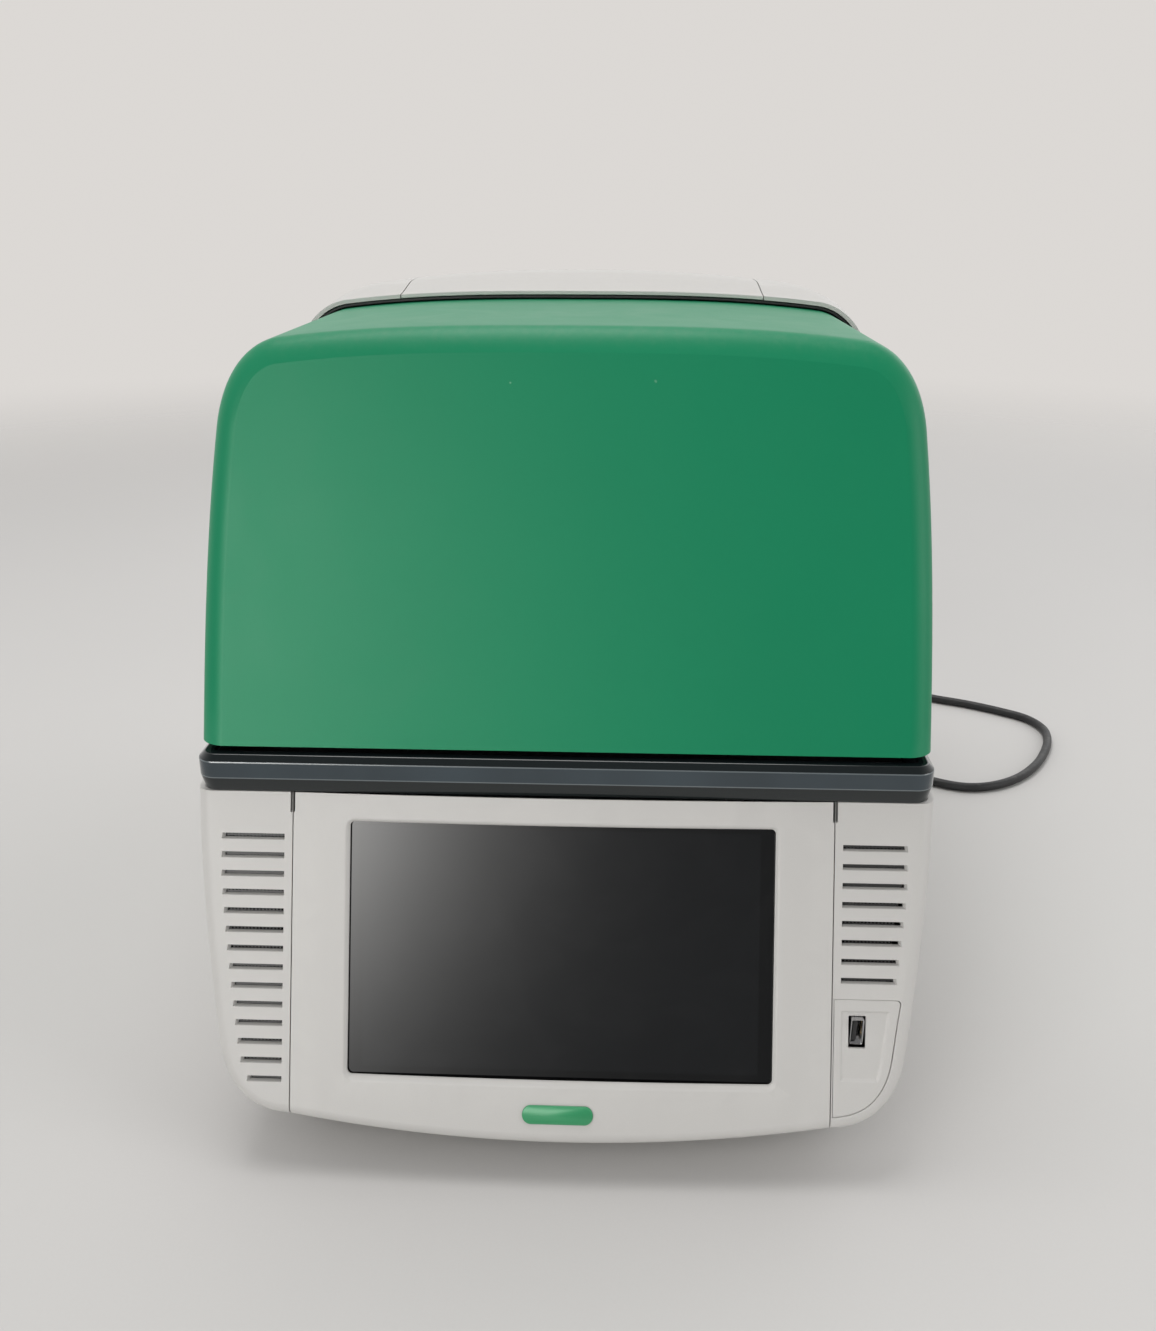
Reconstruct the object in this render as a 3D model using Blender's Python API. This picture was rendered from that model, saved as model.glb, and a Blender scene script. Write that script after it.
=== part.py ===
"""Bench-top thermal cycler with a motorised sliding optics lid, as an assembly of separate pieces.

Metres, +Z up, front towards -Y. The origin is the middle of the footprint on the bench.
"""

from math import cos, pi, radians, sin, sqrt, tan

import bmesh
import bpy
from mathutils import Matrix, Vector

# Driving sizes of the whole instrument
WIDTH = 0.333  # across the deck band and the rear hood
DEPTH = 0.530  # front lip to rear panel
DECK_HEIGHT = 0.164  # top edge of the white base
LID_CROWN = 0.360  # top of the sliding lid, at its middle
HOOD_CROWN = 0.3732  # top of the rear hood, at its middle
FACE_LEAN = radians(20.5)  # how far the front faces lean back

# Walls and fits
WALL = 0.0025  # moulded covers
FIT = 0.0003  # gap between pieces that touch
SEAM = 0.0005  # visible seam between cover pieces
LID_CLEARANCE = 0.0011  # sliding lid to the hood around it

# Base
BASE_HALF = WIDTH / 2 - 0.0015
BASE_WAIST_HALF = 0.1545  # half width where the sides turn under
BASE_WAIST_HEIGHT = 0.057
FACE_ROUND = 0.0065  # rounding between the front face and the sides
LIP_HEIGHT = 0.018  # underside of the front face, at its middle
LIP_SMILE = 0.008  # how much higher the underside is at the bezel's corners
FLOOR_HEIGHT = 0.014  # flat underside behind the front lip
UNDERCUT = 0.034  # depth over which the lip runs down into the flat underside
FOOT_RADIUS = 0.013
FOOT_INSET_X = 0.045
FOOT_INSET_Y = 0.060
PAN_THICKNESS = 0.0015

# Front bezel and touch display
BEZEL_HALF = 0.121
BEZEL_WALL = 0.0024
BEZEL_BOW = 0.002
BEZEL_DEPTH = 0.012  # how far the bezel wraps under the base
WINDOW_HALF = 0.095
WINDOW_LOW = 0.0452
WINDOW_HIGH = 0.1520
GLASS_MARGIN = 0.004
GLASS_THICKNESS = 0.0018
DISPLAY_THICKNESS = 0.008
BADGE_HALF = 0.0158
BADGE_TALL = 0.0078
BADGE_HEIGHT = 0.0326
BADGE_THICKNESS = 0.0006

# Intake vents in the two wings
VENT_PITCH = 0.00786
VENT_TALL = 0.0026
VENT_OUTER = 0.1545
VENT_TAPER = 0.0055
VENT_BESIDE_BEZEL = 0.0035
VENT_FROM_EDGE = 0.0085
VENT_TOP = 0.1451
VENT_COUNT_LEFT = 14
VENT_COUNT_RIGHT = 8
MESH_THICKNESS = 0.0008

# Port cover and its socket
PORT_COVER_TOP = 0.0825
PORT_COVER_INSET = 0.0068
PORT_X = 0.1321
PORT_HEIGHT = 0.0682
PORT_WIDE = 0.0057
PORT_TALL = 0.0131
PORT_LONG = 0.015
PORT_SHELL = 0.0006
PORT_RIM = 0.0009  # opening beside the socket
PORT_SET_IN = 0.0012
PORT_FLOOR = 0.0025
TONGUE_THICKNESS = 0.0018
TONGUE_SIDE = 0.0008  # tongue off the socket's middle

# Deck band and deck
BAND_TALL = 0.0174
BAND_CHAMFER = 0.0028
BAND_FOOT_TALL = 0.0068  # lower part of the band, which slopes in to the base
BAND_FOOT_INSET = 0.0018
BAND_DEPTH = 0.007
BAND_STEP = 0.0026  # how much narrower each side of the band is at its front
BAND_FLARE_END = 0.0  # from here to the rear the band is as wide as the hood
BAND_ROUND = 0.0085
DECK_THICKNESS = 0.0042

# Sliding lid and hood
LID_HALF = WIDTH / 2 - 0.0022 - LID_CLEARANCE
LID_GAP = 0.003  # running gap between the lid and the band
LID_PROUD = 0.0045  # lid face in front of the base face carried upwards
LID_ROUND = 0.0105
LID_TAPER = 0.0040
LID_SHOULDER = 0.044  # below the crown, where the sides start to turn in
LID_ROOF_HALF = 0.132
LID_ROOF_SAG = 0.0055
HOOD_START = 0.015
HOOD_FLARE = 0.042
HOOD_ROUND = 0.012
HOOD_WALL = 0.0022
HOOD_ROOF_HALF = 0.129
HOOD_ROOF_SAG = 0.009
HOOD_CREST_END = 0.080
HOOD_CREST_DROP = 0.0007
HOOD_REAR_DROP = 0.0155  # how much lower the hood is at its rear
HOOD_OVERLAP = 0.012  # how far the closed lid reaches under the hood
HOOD_EDGE_GAP = 0.0026  # opening between the lid's roof and the hood's front edge
HOOD_PANEL_HALF = 0.1015
HOOD_PANEL_END = 0.040
SEAL_CLEARANCE = 0.0007
SEAL_DEPTH = 0.010
SEAL_SET_IN = 0.0015
HOOD_PANEL_FOOT = 0.010  # side edges of the centre panel below the lid's crown

# Thermal block
BLOCK_Y = -0.125
BLOCK_WIDE = 0.118
BLOCK_LONG = 0.078
BLOCK_TALL = 0.0170
BLOCK_TOP = 0.1652
WELL_PITCH = 0.009
WELL_ROWS = 8
WELL_COLUMNS = 12
WELL_TOP_RADIUS = 0.0030
WELL_END_RADIUS = 0.0014
WELL_DEPTH = 0.0145
BLOCK_FRAME_WALL = 0.016
THERMOELECTRIC_THICKNESS = 0.004
SINK_PLATE = 0.008
SINK_FINS = 17
SINK_FIN_TALL = 0.045
SINK_FIN_THICKNESS = 0.002
SINK_WIDE = 0.170
SINK_LONG = 0.116

# Chassis and electronics
CHASSIS_WALL = 0.002
CHASSIS_HALF = 0.090
SUPPLY_SIZE = Vector((0.100, 0.150, 0.042))
SUPPLY_Y = 0.055
BOARD_SIZE = Vector((0.0016, 0.150, 0.090))
BOARD_Y = 0.060
STANDOFF_LENGTH = 0.008
STANDOFF_RADIUS = 0.0025
STANDOFF_INSET = 0.006
BOARD_ABOVE_PAN = 0.020

# Rear panel, fans and connections
PANEL_THICKNESS = 0.0015
PANEL_EDGE = 0.0005
PANEL_RECESS = 0.007  # rear panel in from the rear edge of the covers
FAN_SIZE = 0.080
FAN_DEPTH = 0.025
FAN_BORE = 0.038
FAN_TIP = 0.034
FAN_HUB = 0.018
FAN_BLADES = 7
FAN_SPOKE = 0.004
FAN_SPOKE_DEPTH = 0.003
FAN_MOTOR_DEPTH = 0.0035
FAN_HUB_SET_IN = 0.002
FAN_BLADE_SET_IN = 0.001
FAN_BLADE_THICKNESS = 0.0016
FAN_X = 0.0425
FAN_HEIGHT = 0.108
GRILLE_SLOTS = 8
GRILLE_SLOT = 0.005
INLET_X = 0.118
INLET_HEIGHT = 0.055
INLET_WIDE = 0.028
INLET_TALL = 0.058
INLET_DEPTH = 0.030
INLET_FLANGE = 0.003
SOCKET_WIDE = 0.0245
SOCKET_TALL = 0.0165
SOCKET_DEPTH = 0.017
FLANGE_BESIDE = 0.005
FLANGE_ABOVE = 0.003
FUSE_WIDE = 0.022
FUSE_TALL = 0.0075
FUSE_DEPTH = 0.020
ROCKER_WIDE = 0.019
ROCKER_TALL = 0.013
ROCKER_BAY_DEPTH = 0.012
ROCKER_PIN_DEPTH = 0.003  # pivot behind the flange's face
DRAWER_PROUD = 0.0006
NETWORK_X = -0.118
NETWORK_HEIGHT = 0.060
NETWORK_SIZE = Vector((0.016, 0.018, 0.0135))
NETWORK_HOLLOW = Vector((0.0117, 0.012, 0.0080))
NETWORK_PROUD = 0.0008

# Lid drive
RAIL_X = 0.1505
RAIL_WIDE = 0.006
RAIL_TALL = 0.007
RAIL_FRONT = -0.036
RAIL_REAR = 0.246
RUNNER_LONG = 0.046
RUNNER_WIDE = 0.009
RUNNING_GAP = 0.0005
SCREW_X = -0.120
SCREW_HEIGHT = 0.1850
SCREW_RADIUS = 0.004
SCREW_FRONT = -0.012
SCREW_REAR = 0.200
BEARING_LONG = 0.008
MOTOR_SIZE = 0.028
MOTOR_LONG = 0.034
NUT_LONG = 0.012
NUT_WIDE = 0.018
NUT_BELOW = 0.0075  # below the screw's middle
BEARING_WIDE = 0.020
BEARING_ABOVE = 0.0085
NUT_Y = 0.004

# Heated plate and optics carried by the lid
TRAY_HEIGHT = 0.1960
TRAY_THICKNESS = 0.003
TRAY_HALF = 0.1545
TRAY_FRONT = -0.188
TRAY_REAR = 0.022
TRAY_WINDOW_WIDE = 0.112
TRAY_WINDOW_LONG = 0.076
PLATE_UP = 0.1800
PLATE_TALL = 0.010
PLATE_WIDE = 0.124
PLATE_LONG = 0.084
PIN_RADIUS = 0.0025
PIN_SPACING_X = 0.118
PIN_SPACING_Y = 0.079
PIN_TOP = 0.2140
PIN_CLEARANCE = 0.0006
GANTRY_ROD_X = 0.088
GANTRY_ROD_HEIGHT = 0.2250
GANTRY_ROD_RADIUS = 0.003
GANTRY_ROD_FRONT = -0.182
GANTRY_ROD_REAR = -0.062
ROD_BLOCK = 0.006
ROD_BLOCK_REACH = 0.007  # each way from the rod's middle
TRAY_CHEEK_FRONT = 0.030
TRAY_CHEEK_REAR = 0.004
TRAY_CHEEK_TALL = 0.020
BEAM_TALL = 0.012
BEAM_LONG = 0.012
SHUTTLE_WIDE = 0.056
SHUTTLE_LONG = 0.030
SHUTTLE_TALL = 0.034
HEAD_CLEARANCE = 0.0025  # optics head above the guide pins
BEAM_END = 0.008  # beam beyond the middle of each rod
ACTUATOR_SIZE = Vector((0.036, 0.030, 0.036))
ACTUATOR_Y = -0.030

# Mains lead, whose points lie on the bench behind and beside the instrument
CORD_RADIUS = 0.00325
PLUG_NOSE = 0.0155
CONNECTOR_WIDE = 0.024
CONNECTOR_TALL = 0.016
CONNECTOR_GRIP = 0.032
RELIEF_RADIUS = 0.0065
RELIEF_SKIN = 0.0006
COIL_CENTRE = Vector((-0.035, 0.352, 0.0))
COIL_MIDDLE_RADIUS = 0.0360
COIL_BAND = 0.0132
COIL_LIFT = 0.0002
COIL_CORNER = 0.0025
CORD_ROUTE = (
    (0.118, 0.3325, 0.0440),
    (0.118, 0.3420, 0.0438),
    (0.119, 0.3510, 0.0420),
    (0.122, 0.361, 0.0380),
    (0.130, 0.374, 0.0285),
    (0.143, 0.383, 0.0170),
    (0.161, 0.387, 0.0085),
    (0.183, 0.384, 0.0045),
    (0.208, 0.373, 0.0035),
    (0.240, 0.350, 0.0035),
    (0.270, 0.328, 0.0035),
    (0.297, 0.310, 0.0035),
    (0.326, 0.2965, 0.0035),
    (0.350, 0.2815, 0.0035),
    (0.367, 0.267, 0.0035),
    (0.3745, 0.247, 0.0035),
    (0.3715, 0.2245, 0.0035),
    (0.361, 0.199, 0.0035),
    (0.346, 0.174, 0.0035),
    (0.327, 0.1525, 0.0035),
    (0.305, 0.1385, 0.0035),
    (0.283, 0.1350, 0.0035),
    (0.261, 0.1440, 0.0035),
    (0.240, 0.1620, 0.0035),
    (0.222, 0.1890, 0.0035),
    (0.208, 0.2220, 0.0035),
    (0.192, 0.2560, 0.0035),
    (0.168, 0.2840, 0.0035),
    (0.136, 0.3010, 0.0035),
    (0.098, 0.3085, 0.0035),
    (0.058, 0.3110, 0.0035),
    (0.018, 0.3122, 0.0035),
    (-0.0122, 0.3125, 0.0035),
)
TAIL_ROUTE = (
    (-0.0578, 0.3125, 0.0035),
    (-0.074, 0.3130, 0.0039),
    (-0.088, 0.3150, 0.0056),
    (-0.100, 0.3185, 0.0064),
    (-0.112, 0.3240, 0.0064),
)
PLUG_BODY = Vector((0.024, 0.036, 0.020))
PLUG_RELIEF = 0.026
PLUG_SHOULDER = 0.010
PLUG_LIFT = 0.0003
PLUG_PIN_RADIUS = 0.0024
PLUG_PIN_LONG = 0.019
PLUG_PIN_SPACING = 0.019

# Values that follow from the driving sizes
FRONT = -DEPTH / 2
REAR = DEPTH / 2
SCREEN_CENTRE = (WINDOW_LOW + WINDOW_HIGH) / 2
BAND_LOW = DECK_HEIGHT + FIT
BAND_HIGH = BAND_LOW + BAND_TALL
BAND_FRONT = FRONT + BEZEL_BOW + (DECK_HEIGHT - LIP_HEIGHT) * tan(FACE_LEAN) - BAND_FOOT_INSET
BAND_HALF = WIDTH / 2 - BAND_STEP
BAND_INNER = BAND_HALF - BAND_DEPTH
DECK_LOW = DECK_HEIGHT + FIT
DECK_HIGH = DECK_LOW + DECK_THICKNESS
LID_LOW = BAND_HIGH + LID_GAP
LID_REAR = HOOD_START + HOOD_OVERLAP
HOOD_LOW = BAND_HIGH + FIT
SINK_TOP = BLOCK_TOP - BLOCK_TALL - THERMOELECTRIC_THICKNESS - 2 * FIT
PAN_LOW = FLOOR_HEIGHT + WALL + FIT
PANEL_REAR = REAR - PANEL_RECESS
PANEL_FRONT = PANEL_REAR - PANEL_THICKNESS
RAIL_LOW = DECK_HIGH + FIT
INLET_MOUTH = PANEL_REAR + INLET_FLANGE + FIT
CONNECTOR_FACE = INLET_MOUTH + FIT
SOCKET_HEIGHT = INLET_HEIGHT - 0.011
FUSE_HEIGHT = INLET_HEIGHT + 0.0045
ROCKER_HEIGHT = INLET_HEIGHT + 0.0190


# ---------------------------------------------------------------- helpers


def clear_scene():
    for obj in list(bpy.data.objects):
        bpy.data.objects.remove(obj)


def material(name, colour, roughness, metallic=0.0):
    """A plain surface in linear colour."""
    made = bpy.data.materials.new(name)
    made.use_nodes = True
    shader = made.node_tree.nodes["Principled BSDF"]
    shader.inputs["Base Color"].default_value = (*colour, 1.0)
    shader.inputs["Roughness"].default_value = roughness
    shader.inputs["Metallic"].default_value = metallic
    return made


def empty(name, place, parent=None):
    """A joint's frame. Its children move with it."""
    made = bpy.data.objects.new(name, None)
    made.empty_display_size = 0.02
    bpy.context.scene.collection.objects.link(made)
    made.parent = parent
    made.location = Vector(place) - world_place(parent)
    return made


def world_place(obj):
    place = Vector((0, 0, 0))
    while obj is not None:
        place += obj.location
        obj = obj.parent
    return place


def piece(name, bm, finish, parent=None, helper=False):
    """Turns a mesh in world places into an object, with its origin on its parent."""
    bmesh.ops.remove_doubles(bm, verts=bm.verts, dist=1e-7)
    bmesh.ops.recalc_face_normals(bm, faces=bm.faces)
    bmesh.ops.translate(bm, verts=bm.verts, vec=-world_place(parent))
    mesh = bpy.data.meshes.new(name)
    bm.to_mesh(mesh)
    bm.free()
    mesh.shade_smooth()
    mesh.set_sharp_from_angle(angle=radians(32))
    made = bpy.data.objects.new(name, mesh)
    bpy.context.scene.collection.objects.link(made)
    made.parent = parent
    if finish is not None:
        mesh.materials.append(finish)
    if helper:
        made.hide_render = True
        made.display_type = "WIRE"
    return made


def boolean(target, other, operation):
    """Cuts, joins or keeps the overlap with a helper object."""
    change = target.modifiers.new(operation.lower() + "_" + other.name, "BOOLEAN")
    change.operation = operation
    change.object = other
    change.solver = "EXACT"
    other.hide_render = True
    other.display_type = "WIRE"
    other.parent = target.parent
    return target


def cut(target, bm, name):
    return boolean(target, piece(name, bm, None, target.parent, helper=True), "DIFFERENCE")


def join(target, bm, name):
    return boolean(target, piece(name, bm, None, target.parent, helper=True), "UNION")


def keep(target, bm, name):
    return boolean(target, piece(name, bm, None, target.parent, helper=True), "INTERSECT")


def loft(*rings):
    """Closed solid through rings of equal point counts."""
    bm = bmesh.new()
    rows = [[bm.verts.new(point) for point in ring] for ring in rings]
    for near, far in zip(rows, rows[1:]):
        for i in range(len(near)):
            j = (i + 1) % len(near)
            bm.faces.new((near[i], near[j], far[j], far[i]))
    bm.faces.new(rows[0][::-1])
    bm.faces.new(rows[-1])
    return bm


def blocks(*spans):
    """Boxes, each from a low corner to a high corner, in one mesh."""
    bm = bmesh.new()
    for low, high in spans:
        low, high = Vector(low), Vector(high)
        made = bmesh.ops.create_cube(bm, size=1)["verts"]
        bmesh.ops.scale(bm, vec=high - low, verts=made)
        bmesh.ops.translate(bm, vec=(low + high) / 2, verts=made)
    return bm


def centred(place, size):
    """The corners of a box of this size about a place."""
    half = Vector(size) / 2
    return Vector(place) - half, Vector(place) + half


def rods(radius, ends, sides=16, end_radius=None):
    """Round bars between pairs of points, in one mesh."""
    bm = bmesh.new()
    for start, end in ends:
        start, end = Vector(start), Vector(end)
        made = bmesh.ops.create_cone(
            bm,
            cap_ends=True,
            segments=sides,
            radius1=radius,
            radius2=radius if end_radius is None else end_radius,
            depth=(end - start).length,
        )["verts"]
        turn = Vector((0, 0, 1)).rotation_difference(end - start).to_matrix()
        bmesh.ops.rotate(bm, verts=made, matrix=turn)
        bmesh.ops.translate(bm, verts=made, vec=(start + end) / 2)
    return bm


def bevelled(bm, width, segments=2, where=None):
    """Rounds the edges that the test picks out, or all of them."""
    edges = [edge for edge in bm.edges if where is None or where(edge)]
    bmesh.ops.bevel(
        bm, geom=edges, offset=width, segments=segments, affect="EDGES", profile=0.5
    )
    return bm


def along_y(edge):
    along = edge.verts[1].co - edge.verts[0].co
    return abs(along.y) > 0.9 * along.length


def bezier(a, b, c, d, steps):
    """Points of a cubic curve after its first."""
    made = []
    for k in range(1, steps + 1):
        t = k / steps
        weights = ((1 - t) ** 3, 3 * t * (1 - t) ** 2, 3 * t * t * (1 - t), t**3)
        made.append(
            tuple(sum(w * p[i] for w, p in zip(weights, (a, b, c, d))) for i in (0, 1))
        )
    return made


def moved_in(half, distance, first_normal, last_normal):
    """The half outline moved towards its inside. Its two ends move along given normals."""
    made = []
    for i, (x, z) in enumerate(half):
        if i == 0:
            normal = Vector(first_normal)
        elif i == len(half) - 1:
            normal = Vector(last_normal)
        else:
            before, after = Vector(half[i - 1]), Vector(half[i + 1])
            along = (after - before).normalized()
            normal = Vector((-along.y, along.x))
        made.append((x + normal.x * distance, z + normal.y * distance))
    return made


def both_sides(half):
    """A closed outline from a right half that starts or ends on the middle line."""
    left = [(-x, z) for x, z in reversed(half) if abs(x) > 1e-9]
    return list(half) + left


def quarter(steps):
    return [radians(90) * k / steps for k in range(steps + 1)]


# ---------------------------------------------------------------- outlines


def face_y(z):
    """The plane of the base's leaning front face."""
    return FRONT + BEZEL_BOW + (z - LIP_HEIGHT) * tan(FACE_LEAN)


def lid_face_y(z):
    """The plane of the lid's leaning front face."""
    return face_y(z) - LID_PROUD


def base_half(low, smile, top=DECK_HEIGHT):
    """Right half of the base's section, from the middle of its underside to its top edge."""
    half = [
        (BEZEL_HALF * k / 4, low + smile * (k / 4) ** 2)
        for k in range(5)
    ]
    corner = (BEZEL_HALF, low + smile)
    waist = (BASE_WAIST_HALF, BASE_WAIST_HEIGHT)
    rise = BASE_WAIST_HEIGHT - low - smile
    half += bezier(
        corner,
        (BEZEL_HALF + 0.022, low + smile + 0.0005),
        (BASE_WAIST_HALF - 0.002, BASE_WAIST_HEIGHT - 0.5 * rise),
        waist,
        7,
    )
    half += bezier(
        waist,
        (BASE_WAIST_HALF + 0.0040, BASE_WAIST_HEIGHT + 0.028),
        (BASE_HALF - 0.0010, DECK_HEIGHT - 0.040),
        (BASE_HALF, DECK_HEIGHT),
        5,
    )
    if top > DECK_HEIGHT:
        half.append((BASE_HALF, top))
    return half


def base_ring(half, inset, place_y):
    """A closed section of the base, moved in on its sides and underside only."""
    moved = moved_in(half, inset, (0, 1), (-1, 0))
    return [(x, place_y(z), z) for x, z in both_sides(moved)]


def base_outer():
    """The base's outer form: a rounded leaning front face, a lip, then straight back."""
    front_half = base_half(LIP_HEIGHT, LIP_SMILE)
    rear_half = base_half(FLOOR_HEIGHT, 0.0)
    rings = []
    for angle in quarter(4):
        inset = FACE_ROUND * (1 - sin(angle))
        depth = FACE_ROUND * (1 - cos(angle))
        rings.append(base_ring(front_half, inset, lambda z, d=depth: face_y(z) + d))
    rings.append(base_ring(rear_half, 0, lambda z: face_y(z) + UNDERCUT))
    rings.append(base_ring(rear_half, 0, lambda z: REAR))
    return loft(*rings)


def base_inner():
    """The base's hollow, open above and behind."""
    top = DECK_HEIGHT + 0.02
    front_half = base_half(LIP_HEIGHT, LIP_SMILE, top)
    rear_half = base_half(FLOOR_HEIGHT, 0.0, top)
    rings = []
    for angle in quarter(2):
        inset = WALL + (FACE_ROUND - WALL) * (1 - sin(angle))
        depth = WALL + (FACE_ROUND - WALL) * (1 - cos(angle))
        rings.append(base_ring(front_half, inset, lambda z, d=depth: face_y(z) + d))
    rings.append(base_ring(rear_half, WALL, lambda z: face_y(z) + UNDERCUT))
    rings.append(base_ring(rear_half, WALL, lambda z: REAR + 0.02))
    return loft(*rings)


def leaning(outline, near, far):
    """A prism whose ends lie parallel to the front face, at two depths behind it."""
    return loft(
        [(x, face_y(z) + near, z) for x, z in outline],
        [(x, face_y(z) + far, z) for x, z in outline],
    )


def rectangle(x_low, x_high, z_low, z_high):
    return [(x_low, z_low), (x_high, z_low), (x_high, z_high), (x_low, z_high)]


def lid_half(extra=0.0, low=LID_LOW):
    """Right half of the lid's section, from its lower edge over to the crown."""
    bottom = (LID_HALF, low)
    shoulder = (LID_HALF - LID_TAPER, LID_CROWN - LID_SHOULDER)
    roof = (LID_ROOF_HALF, LID_CROWN - LID_ROOF_SAG)
    half = [bottom]
    half += bezier(
        bottom,
        (LID_HALF + 0.0003, low + 0.052),
        (LID_HALF - 0.0004, shoulder[1] - 0.040),
        shoulder,
        4,
    )
    half += bezier(
        shoulder,
        (shoulder[0] - 0.0015, shoulder[1] + 0.019),
        (roof[0] + 0.017, roof[1] - 0.003),
        roof,
        6,
    )
    for k in (5, 4, 3, 2, 1, 0):
        share = k / 6
        half.append((LID_ROOF_HALF * share, LID_CROWN - LID_ROOF_SAG * share**3))
    return moved_in(half, -extra, (-1, 0), (0, -1))


def hood_half(extra=0.0, low=HOOD_LOW, drop=0.0):
    """Right half of the hood's full section. A lower roof is also a flatter one."""
    crown, sag = HOOD_CROWN - drop, HOOD_ROOF_SAG - drop / 2
    half_width = WIDTH / 2
    bottom = (half_width, low)
    shoulder = (half_width, LID_CROWN - LID_SHOULDER + 0.004)
    roof = (HOOD_ROOF_HALF, crown - sag)
    half = [bottom]
    half += bezier(
        bottom,
        (half_width, low + 0.045),
        (half_width, shoulder[1] - 0.045),
        shoulder,
        4,
    )
    half += bezier(
        shoulder,
        (half_width, shoulder[1] + 0.022),
        (roof[0] + 0.023, roof[1] - 0.006),
        roof,
        6,
    )
    for k in (5, 4, 3, 2, 1, 0):
        share = k / 6
        half.append((HOOD_ROOF_HALF * share, crown - sag * share**2.3))
    return moved_in(half, -extra, (-1, 0), (0, -1))


def hood_front_half(extra=0.0, low=HOOD_LOW):
    """The hood's front edge: close to the lid over the roof, full width at the sides."""
    gap = HOOD_EDGE_GAP + HOOD_WALL
    lid = lid_half(gap, low)
    side = WIDTH / 2
    made = [(min(x, side), z) if i > 4 else (side, z) for i, (x, z) in enumerate(lid)]
    return moved_in(made, -extra, (-1, 0), (0, -1))


def closed_section(half, y):
    return [(x, y, z) for x, z in both_sides(half)]


# ---------------------------------------------------------------- base


def make_base(finish):
    shell = piece("base_shell", base_outer(), finish["cover"])
    cut(shell, base_inner(), "base_hollow_cutter")
    opening = rectangle(-BEZEL_HALF, BEZEL_HALF, -0.02, DECK_HEIGHT + 0.03)
    cut(shell, leaning(opening, -0.02, BEZEL_DEPTH), "bezel_opening_cutter")
    cut(shell, vent_cutters(-1, VENT_COUNT_LEFT), "left_vent_cutter")
    cut(shell, vent_cutters(1, VENT_COUNT_RIGHT), "right_vent_cutter")
    cut(shell, leaning(port_cover_outline(0), -0.01, FACE_ROUND), "port_cover_cutter")


def vent_cutters(side, count):
    """Slots through a wing. Their outer ends slope in, so they fade into the corner."""
    bm = bmesh.new()
    for k in range(count):
        z = VENT_TOP - k * VENT_PITCH
        edge = side_at(z) - VENT_FROM_EDGE
        outer = min(VENT_OUTER, edge)
        rings = []
        for depth, x_end in ((-0.012, outer + 0.004), (WALL + 0.006, outer - VENT_TAPER)):
            y = face_y(z) + depth
            low, high = z - VENT_TALL / 2, z + VENT_TALL / 2
            inner = side * (BEZEL_HALF + VENT_BESIDE_BEZEL)
            corners = [(inner, low), (side * x_end, low), (side * x_end, high), (inner, high)]
            rings.append([bm.verts.new((x, y, zz)) for x, zz in corners])
        near, far = rings
        for i in range(4):
            j = (i + 1) % 4
            bm.faces.new((near[i], near[j], far[j], far[i]))
        bm.faces.new(near[::-1])
        bm.faces.new(far)
    return bm


def side_at(z):
    """Half width of the base's front section at a height."""
    half = base_half(LIP_HEIGHT, LIP_SMILE)
    for (x_low, z_low), (x_high, z_high) in zip(half, half[1:]):
        if z_low <= z <= z_high and z_high > z_low:
            return x_low + (x_high - x_low) * (z - z_low) / (z_high - z_low)
    return BASE_HALF


def port_cover_outline(shrink):
    """The cover at the right foot of the front: straight inner and top edges, curved outer edge."""
    half = moved_in(base_half(LIP_HEIGHT, LIP_SMILE), PORT_COVER_INSET + shrink, (0, 1), (-1, 0))
    inner = BEZEL_HALF + SEAM + shrink
    top = PORT_COVER_TOP - shrink
    curve = [(x, z) for x, z in half if x > inner + 0.002 and z < top - 0.004]
    foot = min(z for x, z in curve) - 0.0002
    return [(inner, foot)] + curve + [(side_at(top) - PORT_COVER_INSET - shrink, top), (inner, top)]


def make_port(finish):
    cover = piece("port_cover", leaning(port_cover_outline(FIT), 0.0002, WALL), finish["cover"])
    hole = rectangle(
        PORT_X - PORT_WIDE / 2 - PORT_RIM,
        PORT_X + PORT_WIDE / 2 + PORT_RIM,
        PORT_HEIGHT - PORT_TALL / 2 - FIT,
        PORT_HEIGHT + PORT_TALL / 2 + FIT,
    )
    cut(cover, leaning(hole, -0.01, 0.01), "port_hole_cutter")
    start = face_y(PORT_HEIGHT) + PORT_SET_IN
    middle = Vector((PORT_X, start + PORT_LONG / 2, PORT_HEIGHT))
    socket = piece(
        "port_socket",
        blocks(centred(middle, (PORT_WIDE, PORT_LONG, PORT_TALL))),
        finish["steel"],
    )
    hollow = Vector((PORT_WIDE - 2 * PORT_SHELL, PORT_LONG, PORT_TALL - 2 * PORT_SHELL))
    cut(
        socket,
        blocks(centred(middle - Vector((0, PORT_FLOOR, 0)), hollow)),
        "port_hollow_cutter",
    )
    tongue = centred(
        (PORT_X - TONGUE_SIDE, start + PORT_LONG / 2 + 0.0010, PORT_HEIGHT),
        (TONGUE_THICKNESS, PORT_LONG - 0.003, PORT_TALL - 0.0028),
    )
    join(socket, blocks(tongue), "port_tongue_joiner")


def make_feet(finish):
    for front, place_y in (("front", FRONT + FOOT_INSET_Y), ("rear", REAR - FOOT_INSET_Y)):
        for side, sign in (("left", -1), ("right", 1)):
            x = sign * (WIDTH / 2 - FOOT_INSET_X)
            bm = rods(
                FOOT_RADIUS * 0.88,
                [((x, place_y, 0), (x, place_y, FLOOR_HEIGHT - FIT))],
                20,
                FOOT_RADIUS,
            )
            piece(f"foot_{front}_{side}", bm, finish["rubber"])


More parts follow.
